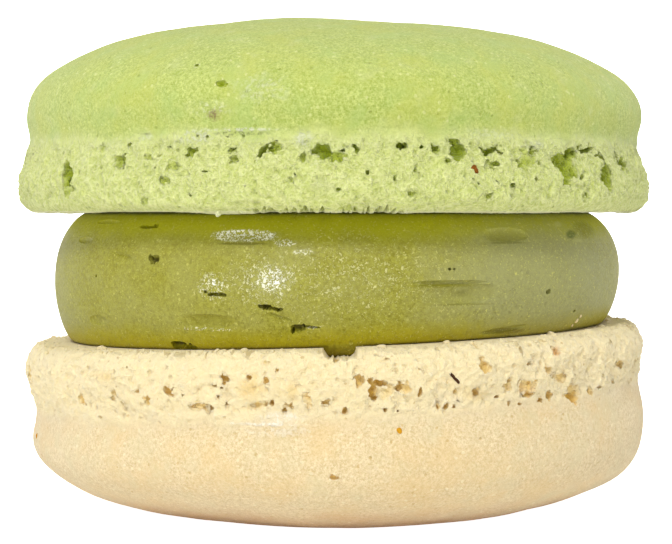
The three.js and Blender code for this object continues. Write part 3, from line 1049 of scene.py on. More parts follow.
def copy_bubble(bubble, move, sizes, material):
    """Copies a bubble, stretched to its width, depth and height, and puts its place in its mesh."""
    made = bubble.copy()
    made.data = bubble.data.copy()
    bpy.context.scene.collection.objects.link(made)
    made.data.transform(move @ Matrix.Diagonal((*(size / MM for size in sizes), 1)))
    made.location = (0, 0, 0)
    made.data.materials.clear()
    made.data.materials.append(material)
    return made


def sink(piece, bubble, origin, angle, sizes, turn, material, lift=0, square=False):
    """Puts a copy of a bubble where a ray from outside meets a piece, or that far above it."""
    inward = Vector((-math.sin(angle), math.cos(angle), 0))
    hit, place, normal, _ = piece.ray_cast(origin, inward)
    if not hit:
        return None
    place.z += lift
    lean = Matrix.Rotation(-math.asin(normal.z) if square else 0, 4, "X")
    move = Matrix.Translation(place) @ Matrix.Rotation(angle, 4, "Z") @ lean @ Matrix.Rotation(turn, 4, "Y")
    return copy_bubble(bubble, move, sizes, material)


def sink_in_shell(piece, shell, bubble, hollow, material):
    """Puts a copy of a bubble in a shell's wall, or at its rim if the height is below the lowest ray."""
    angle, height, wide, tall, deep, turn = hollow
    turned = math.radians(angle)
    origin = placed(shell, shell["foot"] + 5 * MM, turned, max(height, LOWEST_RAY) * MM)
    lift = shell["up"] * min(height - LOWEST_RAY, 0) * MM
    sizes = (wide * MM, deep * 2 * MM, tall * MM)
    return sink(piece, bubble, origin, turned, sizes, math.radians(turn), material, lift)


def cut_out(piece, cutters):
    """Takes the cutters out of a piece, drops loose scraps and keeps how deep each point now lies."""
    points = [point.co.copy() for point in piece.data.vertices]
    wall = BVHTree.FromPolygons(points, [list(face.vertices) for face in piece.data.polygons])
    drawer = bpy.data.collections.new("cutters")
    for cutter in cutters:
        drawer.objects.link(cutter)
    apply_modifier(
        piece,
        "BOOLEAN",
        operation="DIFFERENCE",
        operand_type="COLLECTION",
        collection=drawer,
        solver="MANIFOLD",
        material_mode="TRANSFER",
    )
    for cutter in cutters:
        bpy.data.objects.remove(cutter)
    bpy.data.collections.remove(drawer)
    piece = drop_scraps(piece)
    depth = piece.data.attributes.new("depth", "FLOAT", "POINT")
    for point in piece.data.vertices:
        depth.data[point.index].value = wall.find_nearest(point.co)[3] / MM
    return piece


def mark_lips(piece):
    """Marks the points of the wall at the edge of a hollow, which the finish gives a painted highlight."""
    depth = [item.value for item in piece.data.attributes["depth"].data]
    lip = piece.data.attributes.new("lip", "FLOAT", "POINT")
    for edge in piece.data.edges:
        first, second = edge.vertices
        for here, there in ((first, second), (second, first)):
            if depth[here] < SHALLOW < depth[there]:
                lip.data[here].value = 1


def drop_scraps(piece):
    only(piece)
    bpy.ops.object.mode_set(mode="EDIT")
    bpy.ops.mesh.select_all(action="SELECT")
    bpy.ops.mesh.separate(type="LOOSE")
    bpy.ops.object.mode_set(mode="OBJECT")
    bodies = sorted(bpy.context.selected_objects, key=lambda body: len(body.data.vertices))
    for scrap in bodies[:-1]:
        bpy.data.objects.remove(scrap)
    return bodies[-1]


# %% [markdown]
# The large hollows are where the eye rests, so each has a place of its own: its angle from the front,
# its height over the inner face, its width and its height. Many have a shelf beside the deep part,
# where a thin wall between two bubbles gave way. A shelf is shallow, so it stays nearly as pale as the
# outside. The rim is bitten as well, by chips and by tears, which are rows of small bites.

# %% Hollows with a place of their own
upper_hollows = [
    # angle, height, wide, tall, deep, turn
    (-51.5, 2.35, 1.4, 1.6, 1.1, 0),  # the round hole low in the foot
    (-50.8, 1.45, 1.0, 0.9, 0.25, 0),
    (-37.6, 3.4, 0.32, 0.85, 0.6, 15),
    (-42.4, 2.95, 0.35, 0.5, 0.35, 0),
    (-23.8, 3.75, 0.65, 0.65, 0.55, 0),
    (-16.3, 3.9, 0.66, 0.3, 0.55, 0),
    (-11.2, 3.8, 1.25, 0.42, 0.75, -58),
    (-4.8, 3.4, 0.45, 0.8, 0.3, 0),
    (-1.5, 3.7, 1.0, 1.05, 0.85, 0),
    (1.5, 3.8, 0.38, 0.28, 0.5, 0),
    (3.6, 3.9, 0.4, 0.7, 0.55, -30),
    (10.9, 4.05, 0.6, 0.5, 0.6, 0),
    (14.4, 4.0, 0.34, 0.28, 0.5, 0),
    (16.8, 3.9, 0.6, 0.5, 0.6, 0),
    (20.6, 3.75, 1.25, 1.1, 0.85, 0),
    (26.7, 3.82, 1.15, 0.42, 0.75, -28),
    (32.2, 2.95, 0.7, 0.45, 0.3, 0),
    (34.9, 3.9, 0.6, 0.5, 0.5, 0),
    (42.3, 2.6, 1.3, 1.3, 0.8, 0),
    (44.6, 3.8, 0.9, 0.8, 0.9, 0),
    (48.8, 4.05, 1.9, 0.36, 1.0, -12),
    (52.8, 3.6, 0.9, 0.5, 0.7, 25),
    (54.0, 2.6, 0.7, 0.45, 0.8, 0),
    (53.6, 2.0, 0.6, 0.8, 0.5, 0),
    (59.8, 3.75, 0.8, 0.6, 0.7, 0),
    (-18.7, 7.93, 0.7, 0.5, 0.4, 0),  # two burst bubbles in the skin
    (-24.3, 9.14, 0.34, 0.24, 0.35, 0),
    # shelves beside them
    (-38.6, 3.2, 0.8, 0.9, 0.32, 0),
    (-27.2, 2.95, 0.8, 0.8, 0.2, 0),
    (-43.0, 4.1, 0.6, 0.5, 0.2, 0),
    (-32.4, 3.4, 0.5, 0.45, 0.2, 0),
    (-28.8, 2.0, 0.65, 0.55, 0.3, 0),
    (-16.0, 3.3, 0.6, 0.5, 0.3, 0),
    (-9.3, 3.95, 1.0, 0.6, 0.45, -20),
    (0.6, 3.4, 1.0, 0.7, 0.4, 0),
    (18.6, 3.2, 0.45, 0.4, 0.35, 0),
    (27.0, 3.0, 0.9, 0.5, 0.3, 0),
    (33.6, 3.4, 1.4, 1.2, 0.22, 0),
    (42.5, 3.1, 1.8, 2.0, 0.75, 0),
    (54.0, 2.4, 1.6, 1.6, 0.6, 0),
    (62.4, 3.3, 1.0, 1.0, 0.5, 40),
    (25.5, 0.95, 0.6, 0.45, 0.25, 0),
    (-32.7, 0.7, 0.5, 0.6, 0.2, 0),
]
upper_chips = [
    # angle, wide, tall, deep
    (-10.0, 1.2, 0.16, 2.6),
    (-1.4, 0.5, 0.34, 0.5),
    (2.4, 1.7, 0.5, 0.55),
    (7.2, 0.9, 0.36, 0.7),
    (9.6, 0.7, 0.3, 0.5),
    (16.9, 0.7, 0.3, 0.5),
]
upper_tears = [
    # from angle, to angle, tall
    (-13.6, -11.4, 0.56),
    (-11.4, -5.0, 0.42),
    (-4.2, -1.6, 0.55),
    (1.4, 5.2, 0.36),
    (5.8, 8.8, 0.66),
    (8.8, 10.6, 0.4),
    (-39.6, -37.2, 0.3),
    (-31.0, -28.0, 0.16),
    (108, 116, 0.5),
    (200, 210, 0.5),
]
upper_pinholes = [
    # angle, height, wide, tall
    (-36.7, 4.3, 0.34, 0.32),
    (-22.8, 4.75, 0.18, 0.12),
    (-21.0, 4.7, 0.2, 0.14),
    (-18.6, 4.72, 0.16, 0.12),
    (-17.5, 4.66, 0.2, 0.12),
    (-14.8, 4.7, 0.16, 0.12),
    (-28.5, 4.1, 0.36, 0.2),
    (-30.3, 3.5, 0.26, 0.24),
    (-30.8, 2.8, 0.22, 0.2),
    (-20.9, 2.5, 0.5, 0.18),
    (-23.7, 1.1, 0.2, 0.2),
    (-13.9, 1.6, 0.2, 0.2),
    (-6.6, 2.0, 0.17, 0.38),
    (-6.1, 2.3, 0.2, 0.2),
    (0.9, 1.4, 0.37, 0.3),
    (5.4, 2.4, 0.3, 0.3),
    (9.7, 2.0, 0.24, 0.44),
    (12.4, 1.1, 0.27, 0.25),
    (13.0, 2.6, 0.27, 0.27),
    (18.6, 3.2, 0.38, 0.3),
    (22.9, 2.0, 0.32, 0.3),
    (23.8, 1.75, 0.2, 0.2),
    (27.3, 1.85, 0.2, 0.2),
    (30.2, 1.7, 0.3, 0.3),
    (35.0, 2.1, 0.3, 0.26),
    (35.7, 3.1, 0.38, 0.32),
    (46.1, 2.3, 0.5, 0.32),
    (47.7, 1.1, 0.36, 0.5),
]
lower_hollows = [
    (-49.8, 2.77, 0.6, 0.7, 0.3, 0),
    (-48.9, 3.09, 0.3, 0.26, 0.45, 0),
    (-41.0, 2.41, 0.7, 0.55, 0.22, 0),
    (-39.3, 2.92, 0.35, 0.75, 0.22, -15),
    (-32.9, 2.8, 0.5, 0.85, 0.5, 10),
    (-28.3, 2.22, 0.95, 0.42, 0.5, 40),
    (-18.2, 1.44, 0.52, 0.6, 0.5, 0),
    (-13.9, 1.46, 0.38, 0.4, 0.45, 0),
    (-11.0, 1.66, 0.4, 0.55, 0.45, 0),
    (-10.5, 3.09, 0.38, 0.42, 0.5, 0),
    (-8.4, 3.5, 0.36, 0.3, 0.5, 0),
    (-7.4, 3.22, 0.5, 0.3, 0.3, -20),
    (-1.7, 3.18, 0.5, 0.32, 0.4, 0),
    (1.5, 3.72, 0.38, 0.62, 0.55, 0),
    (3.8, 1.92, 0.5, 1.05, 0.42, 0),
    (6.0, 2.65, 0.6, 1.25, 0.8, 0),  # the deepest one at the front
    (7.2, 2.15, 0.8, 0.5, 0.7, 0),
    (8.1, 3.91, 0.42, 0.36, 0.4, 0),
    (10.6, 2.48, 0.6, 0.5, 0.5, 0),
    (13.8, 2.93, 0.38, 0.75, 0.5, 0),
    (18.5, 4.05, 0.4, 0.48, 0.45, 0),
    (17.2, 4.03, 0.28, 0.36, 0.4, 0),
    (19.9, 4.07, 0.36, 0.36, 0.45, 0),
    (23.9, 3.35, 0.5, 0.45, 0.4, 0),
    (25.2, 1.58, 0.85, 0.9, 0.42, -20),
    (28.0, 3.84, 0.36, 0.26, 0.4, 0),
    (34.3, 3.92, 0.75, 0.34, 0.6, 0),
    (34.3, 1.72, 0.36, 0.28, 0.4, 0),
    (39.6, 4.2, 0.6, 0.6, 0.5, 30),
    (37.4, 4.4, 0.5, 0.3, 0.45, 0),
    (45.6, 4.6, 1.1, 0.7, 0.65, 0),
    (50.6, 4.42, 0.6, 0.5, 0.35, 0),
    (53.1, 4.21, 0.8, 0.26, 0.4, 0),
    (60.1, 2.8, 0.85, 0.6, 0.5, 0),
    (56.9, 0.97, 0.5, 0.5, 0.3, 0),
    (40.6, 1.01, 0.5, 0.6, 0.3, 0),
    (-0.8, 7.89, 0.5, 0.36, 0.35, 0),
    # shelves beside them, and cracks
    (20.0, 0.1, 0.4, 0.9, 0.5, 15),
    (24.6, 0.1, 0.3, 1.0, 0.5, -15),
    (33.0, 0.2, 0.5, 1.2, 0.6, 10),
    (-23.0, 3.15, 1.4, 0.5, 0.25, 0),
    (-12.6, 3.16, 1.0, 0.5, 0.25, 0),
    (-4.5, 2.96, 0.75, 0.75, 0.22, 0),
    (8.2, 2.85, 1.1, 1.0, 0.2, 0),
    (11.2, 2.69, 1.1, 0.8, 0.28, 0),
    (30.1, 3.08, 0.6, 0.8, 0.25, 0),
    (34.2, 3.34, 1.4, 0.95, 0.28, 0),
    (38.9, 2.33, 0.7, 0.6, 0.3, 0),
    (41.9, 3.06, 1.2, 0.6, 0.3, 0),
    (46.0, 4.15, 1.5, 0.9, 0.3, 0),
]
lower_chips = [
    (1.05, 2.6, 0.7, 7.0),  # the wide one at the front
    (-27.0, 0.9, 0.3, 3.0),
    (-14.5, 0.8, 0.2, 3.0),
    (16.0, 0.5, 0.2, 3.0),
    (37.0, 1.4, 0.3, 3.0),
]
lower_tears = [
    (-31.0, -26.0, 0.3),
    (-2.4, 4.4, 0.46),
    (14.0, 17.0, 0.2),
    (25.0, 29.0, 0.25),
    (34.0, 38.0, 0.2),
]
lower_pinholes = [
    (-45.3, 3.79, 0.4, 0.22),
    (-36.7, 0.77, 0.24, 0.2),
    (-34.7, 2.19, 0.4, 0.24),
    (-25.6, 2.41, 0.2, 0.2),
    (-23.8, 3.05, 0.27, 0.25),
    (-22.3, 3.24, 0.4, 0.2),
    (-20.9, 3.17, 0.34, 0.32),
    (-19.8, 1.9, 0.4, 0.2),
    (-18.6, 2, 0.26, 0.2),
    (-19.5, 2.54, 0.15, 0.2),
    (-18.2, 3.01, 0.2, 0.25),
    (-11.2, 0.59, 0.25, 0.25),
    (-9.1, 1.08, 0.2, 0.2),
    (8.9, 0.71, 0.3, 0.15),
    (10.2, 4.04, 0.2, 0.2),
    (13.9, 1.44, 0.2, 0.2),
    (20.1, 3.09, 0.27, 0.25),
    (20.5, 3.75, 0.2, 0.2),
    (24.3, 3.14, 0.34, 0.2),
    (30.2, 2.73, 0.44, 0.2),
    (36.1, 3.01, 0.45, 0.25),
    (30.4, 4.31, 0.3, 0.38),
    (32.6, 4.45, 0.38, 0.2),
    (53.6, 3.38, 0.3, 0.2),
    (58.7, 4.14, 0.7, 0.27),
]
print(len(upper_hollows), "hollows in the upper foot,", len(lower_hollows), "in the lower one")

# %% [markdown]
# Past the front, the hollows come by a rule: twenty-two wide ones, two in three of them close under the
# crease, and then pinholes. The rule's draws are the frame's own, so the wide hollows lie where the
# frame has them. Wide hollows also get smaller ones at their edges, and small nicks go all round the rim.

# %% Scattered hollows
FRONT_ANGLE = 72
SCATTERED_HOLLOWS = 22
PINHOLES = 60


def repeatable_draws(seed):
    """A function that draws a number between two values, the same ones each time."""
    state = seed

    def draw(low, high):
        nonlocal state
        state = state * 16807 % 2147483647
        return mix(low, high, state / 2147483647)

    return draw


def scattered(shell):
    """The wide hollows beyond the front, as (angle, height, wide, tall, deep, turn)."""
    draw = repeatable_draws(shell["seed"])
    waist = shell["waist"] / MM
    hollows = []
    for index in range(SCATTERED_HOLLOWS):
        by_crease = index % 3 > 0
        height = waist - draw(0.5, 1.7) if by_crease else draw(0.6, waist - 1)
        size = draw(0.6, 1.2)
        share = (index + draw(0.1, 0.9)) / SCATTERED_HOLLOWS
        angle = mix(FRONT_ANGLE, 360 - FRONT_ANGLE, share)
        wide, tall = size * draw(0.9, 1.4), size * draw(0.7, 1.1)
        hollows.append((angle, height, wide, tall, min(wide, tall) + 0.4, 0))
    return hollows


def beside(hollow, rng, size, deep):
    """A hollow that overlaps the edge of another, at a share of its size."""
    angle, height, wide, tall, _, _ = hollow
    way = rng.uniform(0, 2 * math.pi)
    aside = wide / 2 * math.cos(way) / (upper["foot"] / MM)
    return (
        angle + math.degrees(aside),
        height + tall / 2 * math.sin(way),
        wide * size * rng.uniform(0.8, 1.2),
        tall * size * rng.uniform(0.8, 1.2),
        deep,
        rng.uniform(-60, 60),
    )


def pinholes_beyond(rng, count):
    """Pinholes past the front."""
    holes = []
    for index in range(count):
        size = rng.uniform(0.16, 0.36)
        height = mix(0.7, 4.6, rng.random() ** 0.7)
        angle = mix(FRONT_ANGLE, 360 - FRONT_ANGLE, (index + rng.random()) / count)
        holes.append((angle, height, size * 1.2, size))
    return holes


# %% Bites out of the rim
RIM_LIFT = 0.5  # a bite's centre lies this far outside the rim
CHIP_WIDTH = 0.9
CHIP_OVERLAP = 3
TEAR_STEP = 0.6  # degrees from bite to bite


def chip(rng, angle, wide, tall, deep):
    """A bite out of the rim, as a row of overlapping bubbles, each of them a little higher or lower."""
    across = min(wide, CHIP_WIDTH)
    count = 1 + round(CHIP_OVERLAP * (wide - across) / across)
    for index in range(count):
        aside = ((index + 0.5) / count - 0.5) * (wide - across) / (upper["foot"] / MM)
        high = 2 * (tall * rng.uniform(0.75, 1.05) + RIM_LIFT)
        yield (angle + math.degrees(aside), -RIM_LIFT, across * rng.uniform(0.9, 1.1), high, deep, 0)


def nick(rng, shell, angle, wide, tall):
    high = 2 * (tall + RIM_LIFT)
    return (angle, -RIM_LIFT, wide, high, shell["nick_depth"], rng.uniform(-25, 25))


def nicks(rng, shell):
    """Small bites out of the rim, all the way round."""
    for index in range(shell["nicks"]):
        angle = 360 * (index + rng.random()) / shell["nicks"]
        yield nick(rng, shell, angle, rng.uniform(0.12, 0.36), shell["nick"] * rng.random() ** 2)


def tear(rng, shell, start, end, tall):
    """A stretch of the rim with one small bite beside the other."""
    count = round((end - start) / TEAR_STEP)
    for index in range(count):
        angle = mix(start, end, (index + rng.random()) / count)
        yield nick(rng, shell, angle, rng.uniform(0.2, 0.5), tall * rng.uniform(0.4, 1))


# %% Cut every hollow
LOBED_HOLLOW = 0.45  # a hollow this wide has smaller ones at its edge


def bubbles_to_cut(shell, hollows, pinholes, chips, tears):
    """All the hollows of a shell, as (angle, height, wide, tall, deep, turn)."""
    rng = random.Random(shell["seed"])
    beyond = scattered(shell)
    shelves = [beside(hollow, rng, size=1.2, deep=0.35) for hollow in beyond]
    lobed = [hollow for hollow in hollows + beyond for _ in range(2) if hollow[2] > LOBED_HOLLOW]
    lobes = [beside(hollow, rng, size=0.5, deep=hollow[4] * 0.7) for hollow in lobed]
    pins = [(*hole, 0.3, 0) for hole in pinholes + pinholes_beyond(rng, PINHOLES)]
    bites = [bite for angle, wide, tall, deep in chips for bite in chip(rng, angle, wide, tall, deep)]
    bites += [bite for start, end, tall in tears for bite in tear(rng, shell, start, end, tall)]
    bites += nicks(rng, shell)
    return hollows + beyond + shelves + lobes + pins + bites


def cut_hollows(piece, shell, hollows, finish):
    """Cuts them all at once. Toward the rim the depth is faded out, so that the bites there get little of
    the hollows' painted shade.
    """
    piece.data.materials.append(finish)
    cutters = [
        sink_in_shell(piece, shell, bubble_for(hollow[2], number), hollow, finish)
        for number, hollow in enumerate(hollows)
    ]
    piece = cut_out(piece, [cutter for cutter in cutters if cutter])
    for point, depth in zip(piece.data.vertices, piece.data.attributes["depth"].data):
        depth.value *= smoothstep(height_in(shell, point.co), shell["dried"] / 3, shell["dried"])
    mark_lips(piece)
    print(piece.name, "has", len(cutters), "hollows")
    return piece


upper_bubbles = bubbles_to_cut(upper, upper_hollows, upper_pinholes, upper_chips, upper_tears)
upper_shell = cut_hollows(upper_shell, upper, upper_bubbles, pistachio_meringue)
lower_bubbles = bubbles_to_cut(lower, lower_hollows, lower_pinholes, lower_chips, lower_tears)
lower_shell = cut_hollows(lower_shell, lower, lower_bubbles, vanilla_meringue)

# %% Crumb and smooth shading
CRUMB_ANGLE = math.radians(50)
for piece, shell in ((upper_shell, upper), (lower_shell, lower)):
    weigh_zones(piece, shell)
    roughen(piece, "foot", 0.6 * MM, -0.4 * MM, hard=True, middle=0.3)
    roughen(piece, "foot", 0.28 * MM, 0.18 * MM)
    only(piece)
    bpy.ops.object.shade_smooth_by_angle(angle=CRUMB_ANGLE)
    print(piece.name, triangles(piece), "triangles")

# %% [markdown]
# ## The cream
#
# The cream was piped as one thick round and pressed between the shells until it bulged. It is built up
# from rings as a shell is, which lie closer together near the shells. Its surface is smooth, so it only
# gets long low swells. The flattened bubbles that the nozzle smeared along its side are cut with the
# smooth bubble, and stay as shallow lens-shaped dents with one crisp edge. The small holes are cut with
# the odd bubbles, and a lump sags into the wide notch in the rim below.

# %% Build the cream
CREAM_RINGS = 48
CREAM_SEGMENTS = 480


def build_cream():
    rings = []
    for step in range(CREAM_RINGS + 1):
        share = (1 - math.cos(math.pi * step / CREAM_RINGS)) / 2
        radius = cream_radius(share)
        left, right = (cream_height(CREAM_OFFSET + side * radius, share) for side in (-1, 1))
        tilt = math.atan2(right - left, 2 * radius)
        rings.append((radius, Vector((CREAM_OFFSET, 0, (left + right) / 2)), tilt))
    return build_rings("pistachio_cream", rings, CREAM_SEGMENTS)


cream = build_cream()
print("cream:", triangles(cream), "triangles")

# %% Swells and dents in the cream
cream_dents = [
    # angle, depth under the upper shell, wide, tall, deep, turn
    (23.0, 5.2, 6.8, 1.4, 0.34, -2),
    (20.4, 4.5, 8.6, 0.4, 0.26, 0),
    (33.7, 1.45, 4.0, 1.1, 0.2, 0),
    (33.7, 7.6, 4.0, 0.5, 0.24, -7),
    (-24.1, 7.0, 4.8, 1.1, 0.2, 0),
    (-52.7, 7.2, 2.4, 0.67, 0.12, 0),
    (-59.5, 1.9, 2.3, 0.5, 0.12, 0),
    (-17.4, 1.5, 4.8, 0.85, 0.14, 0),
    (-44.5, 2.8, 2.4, 0.3, 0.1, 10),
    (-10.2, 6.6, 1.8, 0.24, 0.14, 18),
    (-54.5, 0.65, 3.2, 0.42, 0.16, 0),
    (108, 5.1, 5.2, 1.2, 0.24, 0),
    (150, 2.8, 3.6, 1.0, 0.2, 0),
    (196, 6.2, 6.0, 1.3, 0.24, 0),
    (268, 4.6, 4.4, 1.1, 0.22, 0),
]
cream_holes = [
    (-39.7, 0.98, 1.7, 0.28, 0.45, -2),
    (-35.9, 3.0, 0.96, 0.5, 0.5, 0),
    (-21.9, 5.2, 1.36, 0.25, 0.4, 0),
    (-12.9, 5.95, 0.9, 0.32, 0.5, 0),
    (-10.9, 6.1, 0.9, 0.24, 0.45, 10),
    (-7.0, 7.3, 1.0, 0.56, 0.5, 0),
    (-4.9, 7.2, 1.3, 0.16, 0.35, 4),
    (43.0, 5.2, 0.5, 0.36, 0.35, 0),
    (20.6, 3.6, 0.24, 0.2, 0.35, 0),
    (21.5, 3.6, 0.2, 0.16, 0.35, 0),
    (-51.9, 4.25, 0.25, 0.2, 0.35, 0),
    (-31.6, 8.55, 1.3, 0.6, 0.6, 0),
    (-29.4, 8.7, 1.1, 0.4, 0.6, 0),
    (52.6, 6.6, 0.3, 0.2, 0.3, 0),
    (-24.2, 5.05, 0.3, 0.22, 0.35, 0),
    (236, 3.2, 1.2, 0.5, 0.5, 0),
    (161, 6.1, 0.8, 0.3, 0.45, 0),
]


LUMP_CENTRE = (0.4 * MM, -17.25 * MM, LOWER_FACE + 0.35 * MM)
LUMP_SIZE = (6 * MM, 4.16 * MM, 2.4 * MM)
SLIT = 0.6  # a hole this wide gets bites along it


def squeeze_out(piece):
    """A lump of cream that sagged into the wide notch in the rim below it."""
    lump = copy_bubble(smooth_bubble, Matrix.Translation(LUMP_CENTRE), LUMP_SIZE, pistachio_cream)
    apply_modifier(piece, "BOOLEAN", operation="UNION", object=lump, solver="MANIFOLD")
    bpy.data.objects.remove(lump)


def sink_in_cream(piece, bubble, dent, material=pistachio_cream):
    """Puts a copy of a bubble in the cream's side."""
    angle, under, wide, tall, deep, turn = dent
    sizes = (wide * MM, deep * 2 * MM, tall * MM)
    origin = on_cream(angle, under, out=5)
    angle, turn = math.radians(angle), math.radians(turn)
    return sink(piece, bubble, origin, angle, sizes, turn, material, square=True)


def bites_along(hole, rng):
    """Small round bites along a slit, so that its edges are uneven."""
    angle, under, wide, tall, deep, turn = hole
    for share in (-0.36, -0.12, 0.12, 0.36):
        aside = math.degrees(share * wide / (CREAM_RADIUS / MM))
        lower_by = share * wide * math.tan(math.radians(turn)) + rng.uniform(-0.35, 0.35) * tall
        yield (angle + aside, under + lower_by, wide * 0.28, tall * rng.uniform(0.7, 1.2), deep, 0)


def shape_cream(piece, rng):
    weigh(piece, "side", lambda point: smoothstep(math.hypot(point.x, point.y), 17 * MM, 19 * MM))
    roughen(piece, "side", 9 * MM, 0.14 * MM)
    roughen(piece, "side", 3 * MM, 0.03 * MM)
    roughen(piece, "side", 0.9 * MM, 0.015 * MM)
    piece.data.materials.append(pistachio_cream)
    squeeze_out(piece)
    cutters = [sink_in_cream(piece, smooth_bubble, dent) for dent in cream_dents]
    ragged = [bite for hole in cream_holes if hole[2] > SLIT for bite in bites_along(hole, rng)]
    for number, hole in enumerate(cream_holes + ragged):
        cutters.append(sink_in_cream(piece, small_bubbles[number % ODD_BUBBLES], hole))
    piece = cut_out(piece, [cutter for cutter in cutters if cutter])
    only(piece)
    bpy.ops.object.shade_smooth_by_angle(angle=CRUMB_ANGLE)
    return piece


cream = shape_cream(cream, random.Random(3))
print("cream:", triangles(cream), "triangles")

# %% [markdown]
# ## Crumbs and flecks
#
# Crumbs fell off the torn rim and lie on the ledge beside the cream, and a few hang on under the green
# shell. The almonds were ground with some of their skin, which shows as a brown fleck and as a thin
# splinter, and a grain of caramel stuck to the vanilla dome. All of them are small odd bubbles again,
# now as bodies of their own, joined into one piece for each shell.

# %% Materials of the flecks


def make_fleck(name, light, dark):
    material, tree, shader = new_material(name, 0.0, (1.0, 0.7, 0.4), 0.7, specular=0.2)
    skin = use_group(tree, grain, {"Size": 0.22 * MM})
    tree.links.new(paint(tree, dark, light, skin["Speckle"]), shader.inputs["Base Color"])
    bump(tree, shader, ((skin["Height"], 0.08 * MM),))
    return material


almond_skin = make_fleck("almond_skin", rgb(158, 92, 14), rgb(92, 58, 2))
dark_splinter = make_fleck("dark_splinter", rgb(84, 48, 12), rgb(48, 24, 4))
caramel_grain = make_fleck("caramel_grain", rgb(222, 164, 34), rgb(168, 116, 2))

# %% Flecks pressed into the shells
flecks = [
    # shell, finish, angle, height, wide, tall, thick, turn
    (upper, almond_skin, 23.5, 2.55, 0.46, 0.6, 0.09, -25),
    (upper, almond_skin, 23.1, 2.75, 0.46, 0.36, 0.09, 0),
    (upper, pistachio_meringue, -18.9, -0.12, 0.34, 0.36, 0.2, 0),
    (upper, almond_skin, 131.0, 3.1, 0.4, 0.5, 0.08, 30),
    (lower, dark_splinter, 19.9, 2.22, 1.0, 0.22, 0.08, 46),
    (lower, caramel_grain, 10.2, 5.27, 0.34, 0.42, 0.09, -20),
    (lower, almond_skin, 208.0, 3.99, 0.5, 0.3, 0.08, 0),
    (lower, caramel_grain, 287.0, 5.83, 0.36, 0.4, 0.08, 0),
]


def press_flecks(piece, shell):
    return [
        sink_in_shell(piece, shell, small_bubbles[number % ODD_BUBBLES], fleck, finish)
        for number, (home, finish, *fleck) in enumerate(flecks)
        if home is shell
    ]


# %% Crumbs on the ledge and under the rim
LEDGE_CRUMBS = 150
HANGING_CRUMBS = 40
LEDGE = (19.4, 21.6)  # the ring that they lie on, in millimetres from the axis


def loose_crumbs(rng, piece, shell, finish, count, largest):
    """Crumbs on a shell's inner face, between the cream and the rim."""
    made = []
    for index in range(count):
        angle = 2 * math.pi * (index + rng.random()) / count
        radius = mix(*LEDGE, rng.random()) * MM
        above = placed(shell, radius, angle, -3 * MM)
        hit, place, _, _ = piece.ray_cast(above, Vector((0, 0, shell["up"])))
        size = mix(0.08, largest, rng.random() ** 2.5) * MM
        if not hit or abs(place.z - shell["face"]) > 2 * MM:
            continue
        move = Matrix.Translation(place) @ Matrix.Rotation(rng.uniform(0, math.pi), 4, "Z")
        sizes = (size * rng.uniform(0.8, 1.6), size, size * rng.uniform(0.6, 1))
        made.append(copy_bubble(tiny_bubbles[index % ODD_BUBBLES], move, sizes, finish))
    return made


def join(pieces, name):
    bpy.ops.object.select_all(action="DESELECT")
    for piece in pieces:
        piece.select_set(True)
    bpy.context.view_layer.objects.active = pieces[0]
    bpy.ops.object.join()
    pieces[0].name = pieces[0].data.name = name
    bpy.ops.object.shade_smooth()
    return pieces[0]


cream_crumbs = (
    # angle, depth under the upper shell, wide, tall, thick, turn
    (55.0, 7.3, 0.22, 0.36, 0.1, 35),
    (55.9, 7.0, 0.18, 0.24, 0.08, 20),
    (54.2, 7.6, 0.2, 0.2, 0.08, 60),
)
rng = random.Random(7)
vanilla_crumbs = join(
    press_flecks(lower_shell, lower)
    + [sink_in_cream(cream, small_bubbles[0], crumb, vanilla_meringue) for crumb in cream_crumbs]
    + loose_crumbs(rng, lower_shell, lower, vanilla_meringue, LEDGE_CRUMBS, 0.5),
    "vanilla_crumbs",
)
pistachio_crumbs = join(
    press_flecks(upper_shell, upper)
    + loose_crumbs(rng, upper_shell, upper, pistachio_meringue, HANGING_CRUMBS, 0.3),
    "pistachio_crumbs",
)
for bubble in (*large_bubbles, *small_bubbles, *tiny_bubbles, smooth_bubble):
    bpy.data.objects.remove(bubble)
print("crumbs:", triangles(vanilla_crumbs) + triangles(pistachio_crumbs), "triangles")

# %% [markdown]
# ## Each piece takes the place of its solid
#
# Every piece rides on the one body of the macaron, and the solid that it stands for is hidden. The crumbs
# stand for no solid, so they only ride along.

# %% Ride and replace
for piece, solid, slot in (
    (upper_shell, "shell_upper", "pistachio_shell"),
    (cream, "cream", "pistachio_cream"),
    (lower_shell, "shell_lower", "vanilla_shell"),
):
    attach(piece, "root")
    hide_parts(solid)
for piece, slot in ((vanilla_crumbs, "vanilla_shell"), (pistachio_crumbs, "pistachio_shell")):
    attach(piece, "root")

# %% [markdown]
# ## The floor, the world and the lamps
#
# The floor is a wide pale disc with its edge turned up, and the world is the same white. The camera sees
# both as pure white, but they give the macaron less light than that, which a Light Path node tells
# apart. Two soft suns, one high on the left and one overhead, shape the domes. A small low lamp on the
# left gives the cream its gleam.

# %% Floor
FLOOR_RADIUS = 1.6
FLOOR_EDGE = 0.9
EDGE_STEPS = 6
SEEN_GLOW = 1.0  # the paper's own light as the camera sees it
GIVEN_GLOW = 0.1  # and as the macaron gets it

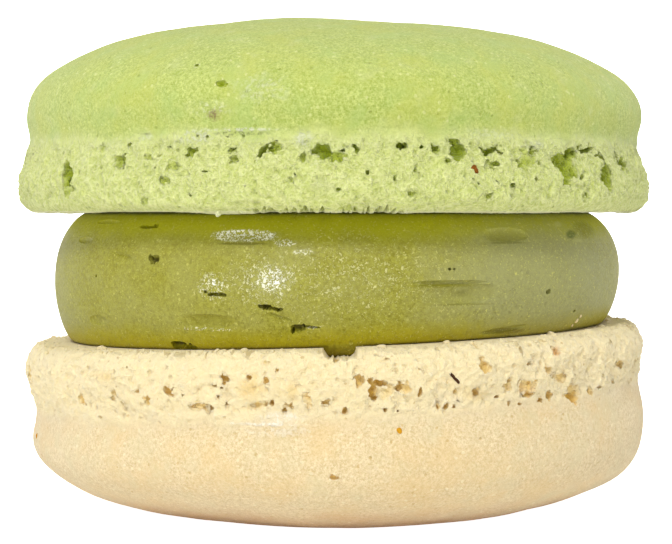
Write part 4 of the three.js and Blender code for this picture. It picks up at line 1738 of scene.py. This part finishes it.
bpy.ops.object.select_all(action="DESELECT")
bpy.ops.mesh.primitive_circle_add(vertices=96, radius=FLOOR_RADIUS, fill_type="NGON")
floor = bpy.context.object
floor.name = "floor"
bpy.ops.object.mode_set(mode="EDIT")
bpy.ops.mesh.select_mode(type="EDGE")
bpy.ops.mesh.select_all(action="SELECT")
bpy.ops.mesh.region_to_loop()
for step in range(EDGE_STEPS):
    turn = math.pi / 2 * (step + 0.5) / EDGE_STEPS
    rise = FLOOR_EDGE / EDGE_STEPS
    bpy.ops.mesh.extrude_edges_move(TRANSFORM_OT_translate={"value": (0, 0, rise * math.sin(turn))})
    grown = 1 + rise * math.cos(turn) / FLOOR_RADIUS
    bpy.ops.transform.resize(value=(grown, grown, 1), center_override=(0, 0, 0))
bpy.ops.object.mode_set(mode="OBJECT")
bpy.ops.object.shade_smooth()
paper = bpy.data.materials.new("paper")
paper.use_nodes = True
coat = paper.node_tree.nodes["Principled BSDF"].inputs
coat["Base Color"].default_value = (0.95, 0.95, 0.95, 1)
coat["Roughness"].default_value = 0.9
coat["Emission Color"].default_value = (1, 1, 1, 1)
seen = node(paper.node_tree, "LightPath").outputs["Is Camera Ray"]
glow = ramp(paper.node_tree, seen, start=GIVEN_GLOW, end=SEEN_GLOW)
paper.node_tree.links.new(glow, coat["Emission Strength"])
floor.data.materials.append(paper)
print("floor", round(FLOOR_RADIUS * 2, 1), "m across")

# %% World
SEEN_WHITE = 1.0  # the world as the camera sees it
WORLD_LIGHT = 0.5  # the light that it gives

world = bpy.data.worlds.new("studio")
bpy.context.scene.world = world
world.use_nodes = True
sky = world.node_tree
is_seen = node(sky, "LightPath").outputs["Is Camera Ray"]
strength = ramp(sky, is_seen, start=WORLD_LIGHT, end=SEEN_WHITE)
sky.nodes["Background"].inputs["Color"].default_value = (1, 1, 1, 1)
sky.links.new(strength, sky.nodes["Background"].inputs["Strength"])

# %% Lamps


def aimed(side, rise):
    """The way to a lamp and its rotation. Side and rise are angles from the front."""
    side, rise = math.radians(side), math.radians(rise)
    away = Vector((math.sin(side) * math.cos(rise), -math.cos(side) * math.cos(rise), math.sin(rise)))
    return away, away.to_track_quat("Z", "Y").to_euler()


def add_lamp(kind, name, side, rise, distance, power):
    away, rotation = aimed(side, rise)
    bpy.ops.object.select_all(action="DESELECT")
    bpy.ops.object.light_add(
        type=kind, location=Vector((0, 0, TOP / 2)) + away * distance, rotation=rotation
    )
    lamp = bpy.context.object
    lamp.name = name
    lamp.data.energy = power
    print(name, "lamp,", power)
    return lamp.data


sun = add_lamp("SUN", "sun", side=-17, rise=46, distance=1, power=1.55)
sun.angle = math.radians(14)
top_light = add_lamp("SUN", "top_light", side=0, rise=80, distance=1, power=0.75)
top_light.angle = math.radians(60)
gloss = add_lamp("AREA", "gloss", side=-24.5, rise=-1, distance=0.2, power=0.04)
gloss.shape = "RECTANGLE"
gloss.size, gloss.size_y = 0.014, 0.05
